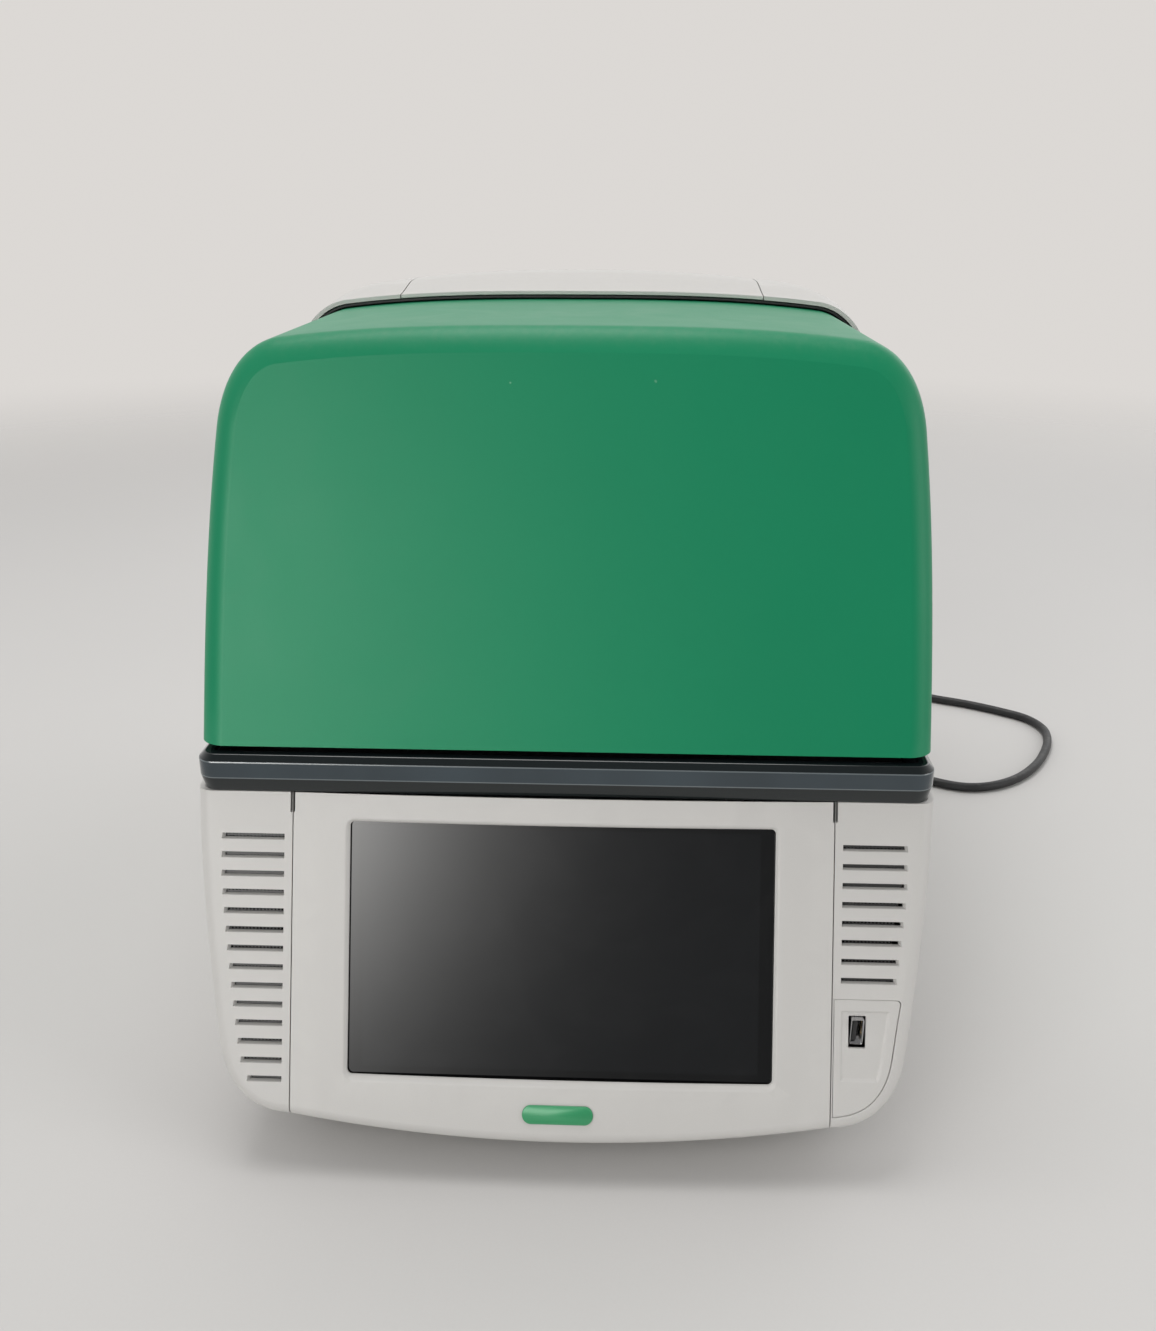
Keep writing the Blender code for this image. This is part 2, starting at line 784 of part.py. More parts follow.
def make_pan(finish):
    low = Vector((-BEZEL_HALF + 0.004, face_y(FLOOR_HEIGHT) + UNDERCUT + 0.004, PAN_LOW))
    high = Vector((BEZEL_HALF - 0.004, PANEL_FRONT - FIT, PAN_LOW + PAN_THICKNESS))
    piece("base_pan", blocks((low, high)), finish["sheet"])


# ---------------------------------------------------------------- front


def bezel_column(x):
    """The bezel's outer surface at one place across, from its hidden lip up to the deck."""
    share = x / BEZEL_HALF
    low = LIP_HEIGHT + LIP_SMILE * share**2
    bow = -BEZEL_BOW * (1 - share**2)
    points = [(x, face_y(low) + BEZEL_DEPTH - FIT, low)]
    for angle in reversed(quarter(3)):
        z = low + FACE_ROUND * (1 - sin(angle))
        points.append((x, face_y(z) + bow + FACE_ROUND * (1 - cos(angle)), z))
    for z in (WINDOW_LOW, SCREEN_CENTRE, WINDOW_HIGH, DECK_HEIGHT):
        points.append((x, face_y(z) + bow, z))
    return points


def make_bezel(finish):
    outer = BEZEL_HALF - SEAM
    places = [-outer, -0.108, -WINDOW_HALF, -0.06, -0.03, 0, 0.03, 0.06, WINDOW_HALF, 0.108, outer]
    bm = bmesh.new()
    columns = [[bm.verts.new(point) for point in bezel_column(x)] for x in places]
    rows = len(columns[0])
    window_rows = (rows - 4, rows - 3)
    for i in range(len(places) - 1):
        for j in range(rows - 1):
            inside = -WINDOW_HALF <= places[i] < WINDOW_HALF
            if inside and j in window_rows:
                continue
            near, far = columns[i], columns[i + 1]
            bm.faces.new((near[j], far[j], far[j + 1], near[j + 1]))
    bezel = piece("front_bezel", bm, finish["cover"])
    thick = bezel.modifiers.new("wall", "SOLIDIFY")
    thick.thickness = BEZEL_WALL
    thick.offset = -1
    thick.use_even_offset = True


def make_display(finish):
    z_low, z_high = WINDOW_LOW - GLASS_MARGIN, WINDOW_HIGH + GLASS_MARGIN
    outline = rectangle(-WINDOW_HALF - GLASS_MARGIN, WINDOW_HALF + GLASS_MARGIN, z_low, z_high)
    behind = 1 / cos(FACE_LEAN)
    glass_near = (BEZEL_WALL + FIT) * behind
    glass_far = glass_near + GLASS_THICKNESS * behind
    piece("display_glass", leaning(outline, glass_near, glass_far), finish["glass"])
    module = rectangle(-WINDOW_HALF, WINDOW_HALF, WINDOW_LOW, WINDOW_HIGH)
    module_near = glass_far + FIT * behind
    piece(
        "display_module",
        leaning(module, module_near, module_near + DISPLAY_THICKNESS * behind),
        finish["black"],
    )


def make_badge(finish):
    """A bare pill-shaped plate on the bezel, below the display."""
    radius = BADGE_TALL / 2
    outline = []
    for side in (1, -1):
        for k in range(7):
            angle = -pi / 2 + pi * k / 6
            x = side * (BADGE_HALF - radius + radius * cos(angle))
            outline.append((x, BADGE_HEIGHT + side * radius * sin(angle)))
    front = -BEZEL_BOW - FIT - BADGE_THICKNESS
    piece("badge_plate", leaning(outline, front, front + BADGE_THICKNESS), finish["green"])


def make_meshes(finish):
    """Perforated plates that back the vents."""
    for side, name, count in ((-1, "left", VENT_COUNT_LEFT), (1, "right", VENT_COUNT_RIGHT)):
        z_high = VENT_TOP + 0.006
        z_low = VENT_TOP - (count - 1) * VENT_PITCH - 0.004
        inner = BEZEL_HALF + 0.0012
        top = side_at(z_high) - FACE_ROUND - 0.0025
        low = side_at(z_low) - FACE_ROUND - 0.0035
        outline = [
            (side * inner, z_low),
            (side * low, z_low),
            (side * min(top, side_at(0.06) - FACE_ROUND - 0.0015), 0.060 if side < 0 else z_low + 0.02),
            (side * top, z_high),
            (side * inner, z_high),
        ]
        near = WALL + 2 * FIT
        piece(
            f"vent_mesh_{name}",
            leaning(outline, near, near + MESH_THICKNESS),
            finish["mesh"],
        )


# ---------------------------------------------------------------- deck


def plan_outline(half_width, front, rear, radius, steps=5, flare=0.0):
    """A plan outline with two rounded front corners, wider by the flare towards the rear."""
    rear_half = half_width + flare
    points = [(-rear_half, rear), (-rear_half, BAND_FLARE_END)] if flare else [(-rear_half, rear)]
    for k in range(steps + 1):
        angle = pi + (pi / 2) * k / steps
        points.append(
            (-half_width + radius + radius * cos(angle), front + radius + radius * sin(angle))
        )
    for k in range(steps + 1):
        angle = 1.5 * pi + (pi / 2) * k / steps
        points.append(
            (half_width - radius + radius * cos(angle), front + radius + radius * sin(angle))
        )
    if flare:
        points.append((rear_half, BAND_FLARE_END))
    points.append((rear_half, rear))
    return points


def make_band(finish):
    rings = []
    for z, inset in (
        (BAND_LOW, BAND_FOOT_INSET),
        (BAND_LOW + BAND_FOOT_TALL, 0),
        (BAND_HIGH - BAND_CHAMFER, 0),
        (BAND_HIGH, BAND_CHAMFER),
    ):
        outline = plan_outline(
            BAND_HALF - inset, BAND_FRONT + inset, REAR, BAND_ROUND - inset, flare=BAND_STEP
        )
        rings.append([(x, y, z) for x, y in outline])
    band = piece("deck_band", loft(*rings), finish["smoke"])
    inner = plan_outline(
        BAND_INNER, BAND_FRONT + BAND_DEPTH, REAR - BAND_DEPTH, BAND_ROUND - BAND_DEPTH, 3
    )
    cut(
        band,
        loft([(x, y, BAND_LOW - 0.01) for x, y in inner], [(x, y, BAND_HIGH + 0.01) for x, y in inner]),
        "band_inner_cutter",
    )


def make_deck(finish):
    outline = plan_outline(
        BAND_INNER - FIT,
        BAND_FRONT + BAND_DEPTH + FIT,
        REAR - BAND_DEPTH - FIT,
        BAND_ROUND - BAND_DEPTH,
        3,
    )
    deck = piece(
        "deck_plate",
        loft([(x, y, DECK_LOW) for x, y in outline], [(x, y, DECK_HIGH) for x, y in outline]),
        finish["dark"],
    )
    opening = Vector((BLOCK_WIDE, BLOCK_LONG, 0)) + 2 * Vector((1, 1, 0)) * (
        FIT * 2 + BLOCK_FRAME_WALL
    )
    opening.z = 0.05
    cut(deck, blocks(centred((0, BLOCK_Y, DECK_LOW), opening)), "block_opening_cutter")


# ---------------------------------------------------------------- thermal block


def make_block(finish):
    middle = (0, BLOCK_Y, BLOCK_TOP - BLOCK_TALL / 2)
    block = piece(
        "sample_block",
        blocks(centred(middle, (BLOCK_WIDE, BLOCK_LONG, BLOCK_TALL))),
        finish["aluminium"],
    )
    ends = []
    lift = 0.001
    widen = WELL_TOP_RADIUS + (WELL_TOP_RADIUS - WELL_END_RADIUS) * lift / WELL_DEPTH
    for row in range(WELL_ROWS):
        for column in range(WELL_COLUMNS):
            x = (column - (WELL_COLUMNS - 1) / 2) * WELL_PITCH
            y = BLOCK_Y + (row - (WELL_ROWS - 1) / 2) * WELL_PITCH
            ends.append(((x, y, BLOCK_TOP - WELL_DEPTH), (x, y, BLOCK_TOP + lift)))
    cut(block, rods(WELL_END_RADIUS, ends, 6, widen), "well_cutter")

    frame_low = SINK_TOP + FIT
    frame_size = Vector((BLOCK_WIDE, BLOCK_LONG, 0)) + 2 * Vector((1, 1, 0)) * (
        FIT + BLOCK_FRAME_WALL
    )
    frame = piece(
        "block_frame",
        blocks(
            (
                (-frame_size.x / 2, BLOCK_Y - frame_size.y / 2, frame_low),
                (frame_size.x / 2, BLOCK_Y + frame_size.y / 2, DECK_HIGH),
            )
        ),
        finish["dark"],
    )
    clear = (BLOCK_WIDE + 2 * FIT, BLOCK_LONG + 2 * FIT, 0.1)
    cut(frame, blocks(centred((0, BLOCK_Y, BLOCK_TOP), clear)), "frame_hole_cutter")

    plate_high = BLOCK_TOP - BLOCK_TALL - FIT
    piece(
        "thermoelectric_plate",
        blocks(
            (
                (-BLOCK_WIDE / 2, BLOCK_Y - BLOCK_LONG / 2, plate_high - THERMOELECTRIC_THICKNESS),
                (BLOCK_WIDE / 2, BLOCK_Y + BLOCK_LONG / 2, plate_high),
            )
        ),
        finish["ceramic"],
    )

    low = Vector((-SINK_WIDE / 2, BLOCK_Y - SINK_LONG / 2, SINK_TOP - SINK_PLATE))
    high = Vector((SINK_WIDE / 2, BLOCK_Y + SINK_LONG / 2, SINK_TOP))
    sink = piece("heat_sink", blocks((low, high)), finish["aluminium"])
    fins = []
    for k in range(SINK_FINS):
        x = (k / (SINK_FINS - 1) - 0.5) * (SINK_WIDE - SINK_FIN_THICKNESS - 0.002)
        fins.append(
            (
                (x - SINK_FIN_THICKNESS / 2, low.y + 0.001, low.z - SINK_FIN_TALL),
                (x + SINK_FIN_THICKNESS / 2, high.y - 0.001, low.z + 0.002),
            )
        )
    join(sink, blocks(*fins), "fin_joiner")


# ---------------------------------------------------------------- chassis and electronics


def make_chassis(finish):
    """Two upright sheet walls that stand on the pan and carry the heat sink and the deck."""
    low = PAN_LOW + PAN_THICKNESS + FIT
    front = BLOCK_Y - SINK_LONG / 2
    rear = PANEL_FRONT - FAN_DEPTH - 0.004
    for name, sign in (("left", -1), ("right", 1)):
        near, far = sign * CHASSIS_HALF, sign * (CHASSIS_HALF + CHASSIS_WALL)
        wall = piece(
            f"chassis_wall_{name}",
            blocks(((min(near, far), front, low), (max(near, far), rear, DECK_LOW - FIT))),
            finish["sheet"],
        )
        tab = sign * (SINK_WIDE / 2 + FIT)
        middle = sign * (CHASSIS_HALF + CHASSIS_WALL / 2)
        tab_low = (min(tab, middle), front + 0.002, SINK_TOP - SINK_PLATE)
        tab_high = (max(tab, middle), front + SINK_LONG - 0.002, SINK_TOP)
        join(wall, blocks((tab_low, tab_high)), f"sink_tab_{name}_joiner")


def make_electronics(finish):
    low = PAN_LOW + PAN_THICKNESS + FIT
    half = SUPPLY_SIZE / 2
    piece(
        "power_supply",
        blocks(centred((0, SUPPLY_Y, low + half.z), SUPPLY_SIZE)),
        finish["sheet"],
    )
    x = -CHASSIS_HALF + FIT + STANDOFF_LENGTH + BOARD_SIZE.x / 2
    z = low + BOARD_ABOVE_PAN + BOARD_SIZE.z / 2
    board = piece("main_board", blocks(centred((x, BOARD_Y, z), BOARD_SIZE)), finish["board"])
    posts = []
    for dy in (-1, 1):
        for dz in (-1, 1):
            y = BOARD_Y + dy * (BOARD_SIZE.y / 2 - STANDOFF_INSET)
            height = z + dz * (BOARD_SIZE.z / 2 - STANDOFF_INSET)
            posts.append(((-CHASSIS_HALF + FIT, y, height), (x, y, height)))
    join(board, rods(STANDOFF_RADIUS, posts, 8), "standoff_joiner")
    chips = []
    for k, (dy, dz) in enumerate(((-0.040, 0.015), (0.0, 0.020), (0.038, -0.012))):
        size = (0.004, 0.024 + 0.006 * k, 0.020)
        chips.append(centred((x + BOARD_SIZE.x / 2 + 0.0015, BOARD_Y + dy, z + dz), size))
    join(board, blocks(*chips), "chip_joiner")


def make_rear_panel(finish):
    half = moved_in(base_half(FLOOR_HEIGHT, 0.0), WALL + PANEL_EDGE, (0, 1), (-1, 0))
    outline = both_sides(half)
    panel = piece(
        "rear_panel",
        loft([(x, PANEL_FRONT, z) for x, z in outline], [(x, PANEL_REAR, z) for x, z in outline]),
        finish["sheet"],
    )
    slots = []
    for sign in (-1, 1):
        pitch = (2 * FAN_TIP) / GRILLE_SLOTS
        for k in range(GRILLE_SLOTS):
            x = sign * FAN_X + (k - (GRILLE_SLOTS - 1) / 2) * pitch
            reach = sqrt(FAN_TIP**2 - ((k - (GRILLE_SLOTS - 1) / 2) * pitch) ** 2)
            for low, high in ((-reach, -0.002), (0.002, reach)):
                slots.append(
                    (
                        (x - GRILLE_SLOT / 2, PANEL_FRONT - 0.01, FAN_HEIGHT + low),
                        (x + GRILLE_SLOT / 2, PANEL_REAR + 0.01, FAN_HEIGHT + high),
                    )
                )
    cut(panel, blocks(*slots), "grille_cutter")
    inlet = centred(
        (INLET_X, PANEL_REAR, INLET_HEIGHT), (INLET_WIDE + 2 * FIT, 0.02, INLET_TALL + 2 * FIT)
    )
    network = centred(
        (NETWORK_X, PANEL_REAR, NETWORK_HEIGHT),
        (NETWORK_SIZE.x + 2 * FIT, 0.02, NETWORK_SIZE.z + 2 * FIT),
    )
    cut(panel, blocks(inlet, network), "connector_cutter")


def make_network_socket(finish):
    start = PANEL_REAR - NETWORK_SIZE.y + NETWORK_PROUD
    low = Vector((NETWORK_X - NETWORK_SIZE.x / 2, start, NETWORK_HEIGHT - NETWORK_SIZE.z / 2))
    socket = piece("network_socket", blocks((low, low + NETWORK_SIZE)), finish["steel"])
    hollow = NETWORK_HOLLOW.copy()
    corner = Vector(
        (
            NETWORK_X - hollow.x / 2,
            PANEL_REAR + NETWORK_PROUD - hollow.y,
            NETWORK_HEIGHT - hollow.z / 2,
        )
    )
    cut(socket, blocks((corner, corner + hollow + Vector((0, 0.005, 0)))), "network_hollow_cutter")


# ---------------------------------------------------------------- fans


def make_fans(finish):
    rear = PANEL_FRONT - FIT
    front = rear - FAN_DEPTH
    for name, x in (("left", -FAN_X), ("right", FAN_X)):
        axis = Vector((x, rear, FAN_HEIGHT))
        frame = piece(
            f"fan_frame_{name}",
            blocks(centred((x, (front + rear) / 2, FAN_HEIGHT), (FAN_SIZE, FAN_DEPTH, FAN_SIZE))),
            finish["black"],
        )
        cut(
            frame,
            rods(FAN_BORE, [((x, front - 0.01, FAN_HEIGHT), (x, rear + 0.01, FAN_HEIGHT))], 32),
            f"fan_bore_{name}_cutter",
        )
        spoke_y = rear - FAN_SPOKE_DEPTH / 2
        across = 2 * FAN_BORE + 0.001
        spokes = [
            centred((x, spoke_y, FAN_HEIGHT), (across, FAN_SPOKE_DEPTH, FAN_SPOKE)),
            centred((x, spoke_y, FAN_HEIGHT), (FAN_SPOKE, FAN_SPOKE_DEPTH, across)),
        ]
        for k, spoke in enumerate(spokes):
            join(frame, blocks(spoke), f"fan_spoke_{name}_{k}_joiner")
        motor_front = rear - FAN_MOTOR_DEPTH
        motor = [((x, motor_front, FAN_HEIGHT), (x, rear - 0.0002, FAN_HEIGHT))]
        join(frame, rods(FAN_HUB, motor, 24), f"fan_motor_{name}_joiner")

        turn = empty(f"fan_axis_{name}", (x, (front + rear) / 2, FAN_HEIGHT))
        hub_front, hub_rear = front + FAN_HUB_SET_IN, motor_front - 2 * FIT
        hub = rods(FAN_HUB, [((x, hub_front, FAN_HEIGHT), (x, hub_rear, FAN_HEIGHT))], 24)
        rotor = piece(f"fan_rotor_{name}", hub, finish["black"], turn)
        blades = fan_blades(axis, hub_front + FAN_BLADE_SET_IN, hub_rear - FAN_BLADE_SET_IN)
        join(rotor, blades, f"fan_blades_{name}_joiner")


def fan_blades(axis, front, rear):
    """Swept blades from inside the hub out to the tip."""
    bm = bmesh.new()
    for k in range(FAN_BLADES):
        turn = 2 * pi * k / FAN_BLADES
        rings = []
        middle = (FAN_HUB + FAN_TIP) / 2
        for radius, spread in ((FAN_HUB - 0.002, 0.30), (middle, 0.27), (FAN_TIP, 0.22)):
            ring = []
            for angle, y, side in (
                (turn - spread, front, 0),
                (turn + spread, rear, 0),
                (turn + spread, rear, 1),
                (turn - spread, front, 1),
            ):
                shifted = angle + side * FAN_BLADE_THICKNESS / radius
                ring.append(
                    bm.verts.new(
                        (axis.x + radius * cos(shifted), y, axis.z + radius * sin(shifted))
                    )
                )
            rings.append(ring)
        for near, far in zip(rings, rings[1:]):
            for i in range(4):
                j = (i + 1) % 4
                bm.faces.new((near[i], near[j], far[j], far[i]))
        bm.faces.new(rings[0][::-1])
        bm.faces.new(rings[-1])
    return bm


# ---------------------------------------------------------------- power inlet


def make_inlet(finish):
    """Mains inlet, fuse drawer and rocker switch in one moulded block."""
    x = INLET_X
    inside = centred(
        (x, PANEL_REAR - INLET_DEPTH / 2, INLET_HEIGHT), (INLET_WIDE, INLET_DEPTH, INLET_TALL)
    )
    inlet = piece("power_inlet", blocks(inside), finish["black"])
    flange = centred(
        (x, PANEL_REAR + FIT + INLET_FLANGE / 2, INLET_HEIGHT),
        (INLET_WIDE + 2 * FLANGE_BESIDE, INLET_FLANGE, INLET_TALL + 2 * FLANGE_ABOVE),
    )
    join(inlet, blocks(flange), "inlet_flange_joiner")
    neck = centred(
        (x, PANEL_REAR, INLET_HEIGHT), (INLET_WIDE, 0.004, INLET_TALL)
    )
    join(inlet, blocks(neck), "inlet_neck_joiner")
    mouth = INLET_MOUTH
    socket = blocks(
        (
            (x - SOCKET_WIDE / 2, mouth - SOCKET_DEPTH, SOCKET_HEIGHT - SOCKET_TALL / 2),
            (x + SOCKET_WIDE / 2, mouth + 0.01, SOCKET_HEIGHT + SOCKET_TALL / 2),
        )
    )
    cut(inlet, socket, "inlet_socket_cutter")
    fuse = blocks(
        (
            (x - FUSE_WIDE / 2, mouth - FUSE_DEPTH, FUSE_HEIGHT - FUSE_TALL / 2),
            (x + FUSE_WIDE / 2, mouth + 0.01, FUSE_HEIGHT + FUSE_TALL / 2),
        )
    )
    cut(inlet, fuse, "fuse_bay_cutter")
    rocker_bay = blocks(
        (
            (x - ROCKER_WIDE / 2, mouth - ROCKER_BAY_DEPTH, ROCKER_HEIGHT - ROCKER_TALL / 2),
            (x + ROCKER_WIDE / 2, mouth + 0.01, ROCKER_HEIGHT + ROCKER_TALL / 2),
        )
    )
    cut(inlet, rocker_bay, "rocker_bay_cutter")

    drawer_axis = empty("fuse_drawer_axis", (x, mouth, FUSE_HEIGHT))
    drawer = blocks(
        (
            (x - FUSE_WIDE / 2 + FIT, mouth - FUSE_DEPTH + FIT, FUSE_HEIGHT - FUSE_TALL / 2 + FIT),
            (x + FUSE_WIDE / 2 - FIT, mouth + DRAWER_PROUD, FUSE_HEIGHT + FUSE_TALL / 2 - FIT),
        )
    )
    piece("fuse_drawer", drawer, finish["dark"], drawer_axis)

    rocker_axis = empty("rocker_axis", (x, mouth - ROCKER_PIN_DEPTH, ROCKER_HEIGHT))
    make_rocker(finish, rocker_axis, x, mouth)


def make_rocker(finish, axis, x, mouth):
    """A shallow V-shaped paddle on a pin across its middle."""
    y = mouth - ROCKER_PIN_DEPTH
    half = ROCKER_TALL / 2 - 0.0012
    profile = [
        (y + 0.0035, -half),
        (y + 0.0022, 0),
        (y + 0.0055, half),
        (y - 0.0010, half - 0.0006),
        (y - 0.0040, 0),
        (y - 0.0010, -half + 0.0006),
    ]
    ends = [
        [(x + side * (ROCKER_WIDE / 2 - 2 * FIT), yy, ROCKER_HEIGHT + dz) for yy, dz in profile]
        for side in (-1, 1)
    ]
    piece("power_rocker", loft(*ends), finish["black"], axis)


# ---------------------------------------------------------------- hood


def hood_middle(shrink, low):
    """The hood's sections from where it has flared out to the start of its rear rounding."""
    places = (
        (HOOD_START + HOOD_FLARE, HOOD_CREST_DROP),
        (HOOD_CREST_END, HOOD_CREST_DROP),
        (REAR - HOOD_ROUND, HOOD_REAR_DROP),
    )
    return [closed_section(hood_half(-shrink, low, drop), y) for y, drop in places]


def hood_rear(inset_start, steps, low):
    """The hood's sections round its rear corner."""
    reach = HOOD_ROUND - inset_start
    rings = []
    for angle in reversed(quarter(steps)[:-1]):
        inset = inset_start + reach * (1 - sin(angle))
        half = moved_in(hood_half(0, low, HOOD_REAR_DROP), inset, (-1, 0), (0, -1))
        half[0] = (half[0][0], low)
        rings.append(closed_section(half, REAR - HOOD_ROUND + reach * cos(angle)))
    return rings


def hood_outer():
    front = closed_section(hood_front_half(), HOOD_START)
    return loft(front, *hood_middle(0, HOOD_LOW), *hood_rear(0, 3, HOOD_LOW))


def hood_inner():
    below = HOOD_LOW - 0.02
    lip = hood_front_half(-HOOD_WALL, below)
    fronts = [closed_section(lip, HOOD_START + step) for step in (-0.005, 0)]
    return loft(*fronts, *hood_middle(HOOD_WALL, below), *hood_rear(HOOD_WALL, 2, below))


def make_hood(finish):
    panel_end = REAR - HOOD_PANEL_END
    shell = piece("hood_shell", hood_outer(), finish["hood"])
    cut(shell, hood_inner(), "hood_hollow_cutter")
    gap = blocks(
        (
            (-HOOD_PANEL_HALF, HOOD_START - 0.02, LID_CROWN - HOOD_PANEL_FOOT),
            (HOOD_PANEL_HALF, panel_end, HOOD_CROWN + 0.02),
        )
    )
    cut(shell, gap, "hood_panel_cutter")
    panel = piece("hood_centre_panel", hood_outer(), finish["hood"])
    cut(panel, hood_inner(), "hood_panel_hollow_cutter")
    inside = blocks(
        (
            (-HOOD_PANEL_HALF + SEAM, HOOD_START - 0.02, LID_CROWN - HOOD_PANEL_FOOT + SEAM),
            (HOOD_PANEL_HALF - SEAM, panel_end - SEAM, HOOD_CROWN + 0.02),
        )
    )
    keep(panel, inside, "hood_panel_keeper")

    foot = LID_CROWN - LID_SHOULDER - 0.001
    inner = [point for point in lid_half(SEAL_CLEARANCE) if point[1] > foot]
    outer = [point for point in hood_front_half(-HOOD_WALL - FIT) if point[1] > foot]
    count = min(len(inner), len(outer))
    inner, outer = inner[-count:], outer[-count:]
    across_outer = outer + [(-x, z) for x, z in reversed(outer[:-1])]
    across_inner = inner + [(-x, z) for x, z in reversed(inner[:-1])]
    ring = across_outer + across_inner[::-1]
    near, far = HOOD_START + SEAL_SET_IN, HOOD_START + SEAL_SET_IN + SEAL_DEPTH
    seal = loft([(x, near, z) for x, z in ring], [(x, far, z) for x, z in ring])
    piece("hood_seal", seal, finish["rubber"])


# ---------------------------------------------------------------- sliding lid


def lid_outer():
    rings = []
    for angle in quarter(4):
        inset = LID_ROUND * (1 - sin(angle))
        depth = LID_ROUND * (1 - cos(angle))
        half = moved_in(lid_half(), inset, (-1, 0), (0, -1))
        half[0] = (half[0][0], LID_LOW)
        rings.append([(x, lid_face_y(z) + depth, z) for x, z in both_sides(half)])
    rings.append([(x, LID_REAR, z) for x, z in both_sides(lid_half())])
    return loft(*rings)


def lid_inner():
    below = LID_LOW - 0.02
    inner_round = LID_ROUND - WALL
    rings = []
    for angle in quarter(2):
        inset = WALL + inner_round * (1 - sin(angle))
        depth = WALL + inner_round * (1 - cos(angle))
        half = moved_in(lid_half(0, below), inset, (-1, 0), (0, -1))
        half[0] = (half[0][0], below)
        rings.append([(x, lid_face_y(z) + depth, z) for x, z in both_sides(half)])
    half = moved_in(lid_half(0, below), WALL, (-1, 0), (0, -1))
    half[0] = (half[0][0], below)
    rings.append([(x, LID_REAR + 0.02, z) for x, z in both_sides(half)])
    return loft(*rings)


def make_lid(finish, lid):
    cover = piece("lid_cover", lid_outer(), finish["green"], lid)
    cut(cover, lid_inner(), "lid_hollow_cutter")

    tray_high = TRAY_HEIGHT + TRAY_THICKNESS
    tray = piece(
        "lid_tray",
        blocks(((-TRAY_HALF, TRAY_FRONT, TRAY_HEIGHT), (TRAY_HALF, TRAY_REAR, tray_high))),
        finish["dark"],
        lid,
    )
    uprights = []
    for sign in (-1, 1):
        for y_low, y_high in (
            (GANTRY_ROD_FRONT, GANTRY_ROD_FRONT + ROD_BLOCK),
            (GANTRY_ROD_REAR - ROD_BLOCK, GANTRY_ROD_REAR),
        ):
            uprights.append(
                (
                    (sign * GANTRY_ROD_X - ROD_BLOCK_REACH, y_low, TRAY_HEIGHT + 0.001),
                    (sign * GANTRY_ROD_X + ROD_BLOCK_REACH, y_high, GANTRY_ROD_HEIGHT + ROD_BLOCK_REACH),
                )
            )
    cheek_top = TRAY_HEIGHT + TRAY_CHEEK_TALL
    cheek_front, cheek_rear = TRAY_FRONT + TRAY_CHEEK_FRONT, TRAY_REAR - TRAY_CHEEK_REAR
    for sign in (-1, 1):
        near, far = sign * TRAY_HALF, sign * (LID_HALF - WALL - FIT)
        low = (min(near, far), cheek_front, TRAY_HEIGHT)
        high = (max(near, far), cheek_rear, cheek_top)
        uprights.append((low, high))
    join(tray, blocks(*uprights), "tray_upright_joiner")
    window = (TRAY_WINDOW_WIDE, TRAY_WINDOW_LONG, 0.02)
    cut(tray, blocks(centred((0, BLOCK_Y, TRAY_HEIGHT), window)), "tray_window_cutter")
    pins = pin_places()
    pin_holes = [((x, y, TRAY_HEIGHT - 0.01), (x, y, tray_high + 0.01)) for x, y in pins]
    cut(tray, rods(PIN_RADIUS + PIN_CLEARANCE, pin_holes, 12), "pin_hole_cutter")
    rod_holes = [
        (
            (sign * GANTRY_ROD_X, GANTRY_ROD_FRONT - 0.01, GANTRY_ROD_HEIGHT),
            (sign * GANTRY_ROD_X, GANTRY_ROD_REAR + 0.01, GANTRY_ROD_HEIGHT),
        )
        for sign in (-1, 1)
    ]
    cut(tray, rods(GANTRY_ROD_RADIUS + FIT, rod_holes, 12), "rod_hole_cutter")

    for name, sign in (("left", -1), ("right", 1)):
        x = sign * GANTRY_ROD_X
        rod = ((x, GANTRY_ROD_FRONT, GANTRY_ROD_HEIGHT), (x, GANTRY_ROD_REAR, GANTRY_ROD_HEIGHT))
        piece(f"gantry_rod_{name}", rods(GANTRY_ROD_RADIUS, [rod], 12), finish["steel"], lid)
        runner_low = RAIL_LOW + RAIL_TALL + RUNNING_GAP
        runner_rear = TRAY_REAR - TRAY_CHEEK_REAR
        runner = blocks(
            (
                (sign * RAIL_X - RUNNER_WIDE / 2, runner_rear - RUNNER_LONG, runner_low),
                (sign * RAIL_X + RUNNER_WIDE / 2, runner_rear, TRAY_HEIGHT - FIT),
            )
        )
        piece(f"lid_runner_{name}", runner, finish["steel"], lid)

    nut = piece(
        "drive_nut",
        blocks(
            (
                (SCREW_X - NUT_WIDE / 2, NUT_Y, SCREW_HEIGHT - NUT_BELOW),
                (SCREW_X + NUT_WIDE / 2, NUT_Y + NUT_LONG, TRAY_HEIGHT - FIT),
            )
        ),
        finish["brass"],
        lid,
    )
    bore = ((SCREW_X, NUT_Y - 0.01, SCREW_HEIGHT), (SCREW_X, NUT_Y + NUT_LONG + 0.01, SCREW_HEIGHT))
    cut(nut, rods(SCREW_RADIUS + FIT, [bore], 16), "nut_bore_cutter")

    actuator_low = tray_high + FIT
    actuator = centred((0, ACTUATOR_Y, actuator_low + ACTUATOR_SIZE.z / 2), ACTUATOR_SIZE)
    piece("press_actuator", blocks(actuator), finish["black"], lid)


def pin_places():
    return [
        (sx * PIN_SPACING_X / 2, BLOCK_Y + sy * PIN_SPACING_Y / 2)
        for sx in (-1, 1)
        for sy in (-1, 1)
    ]


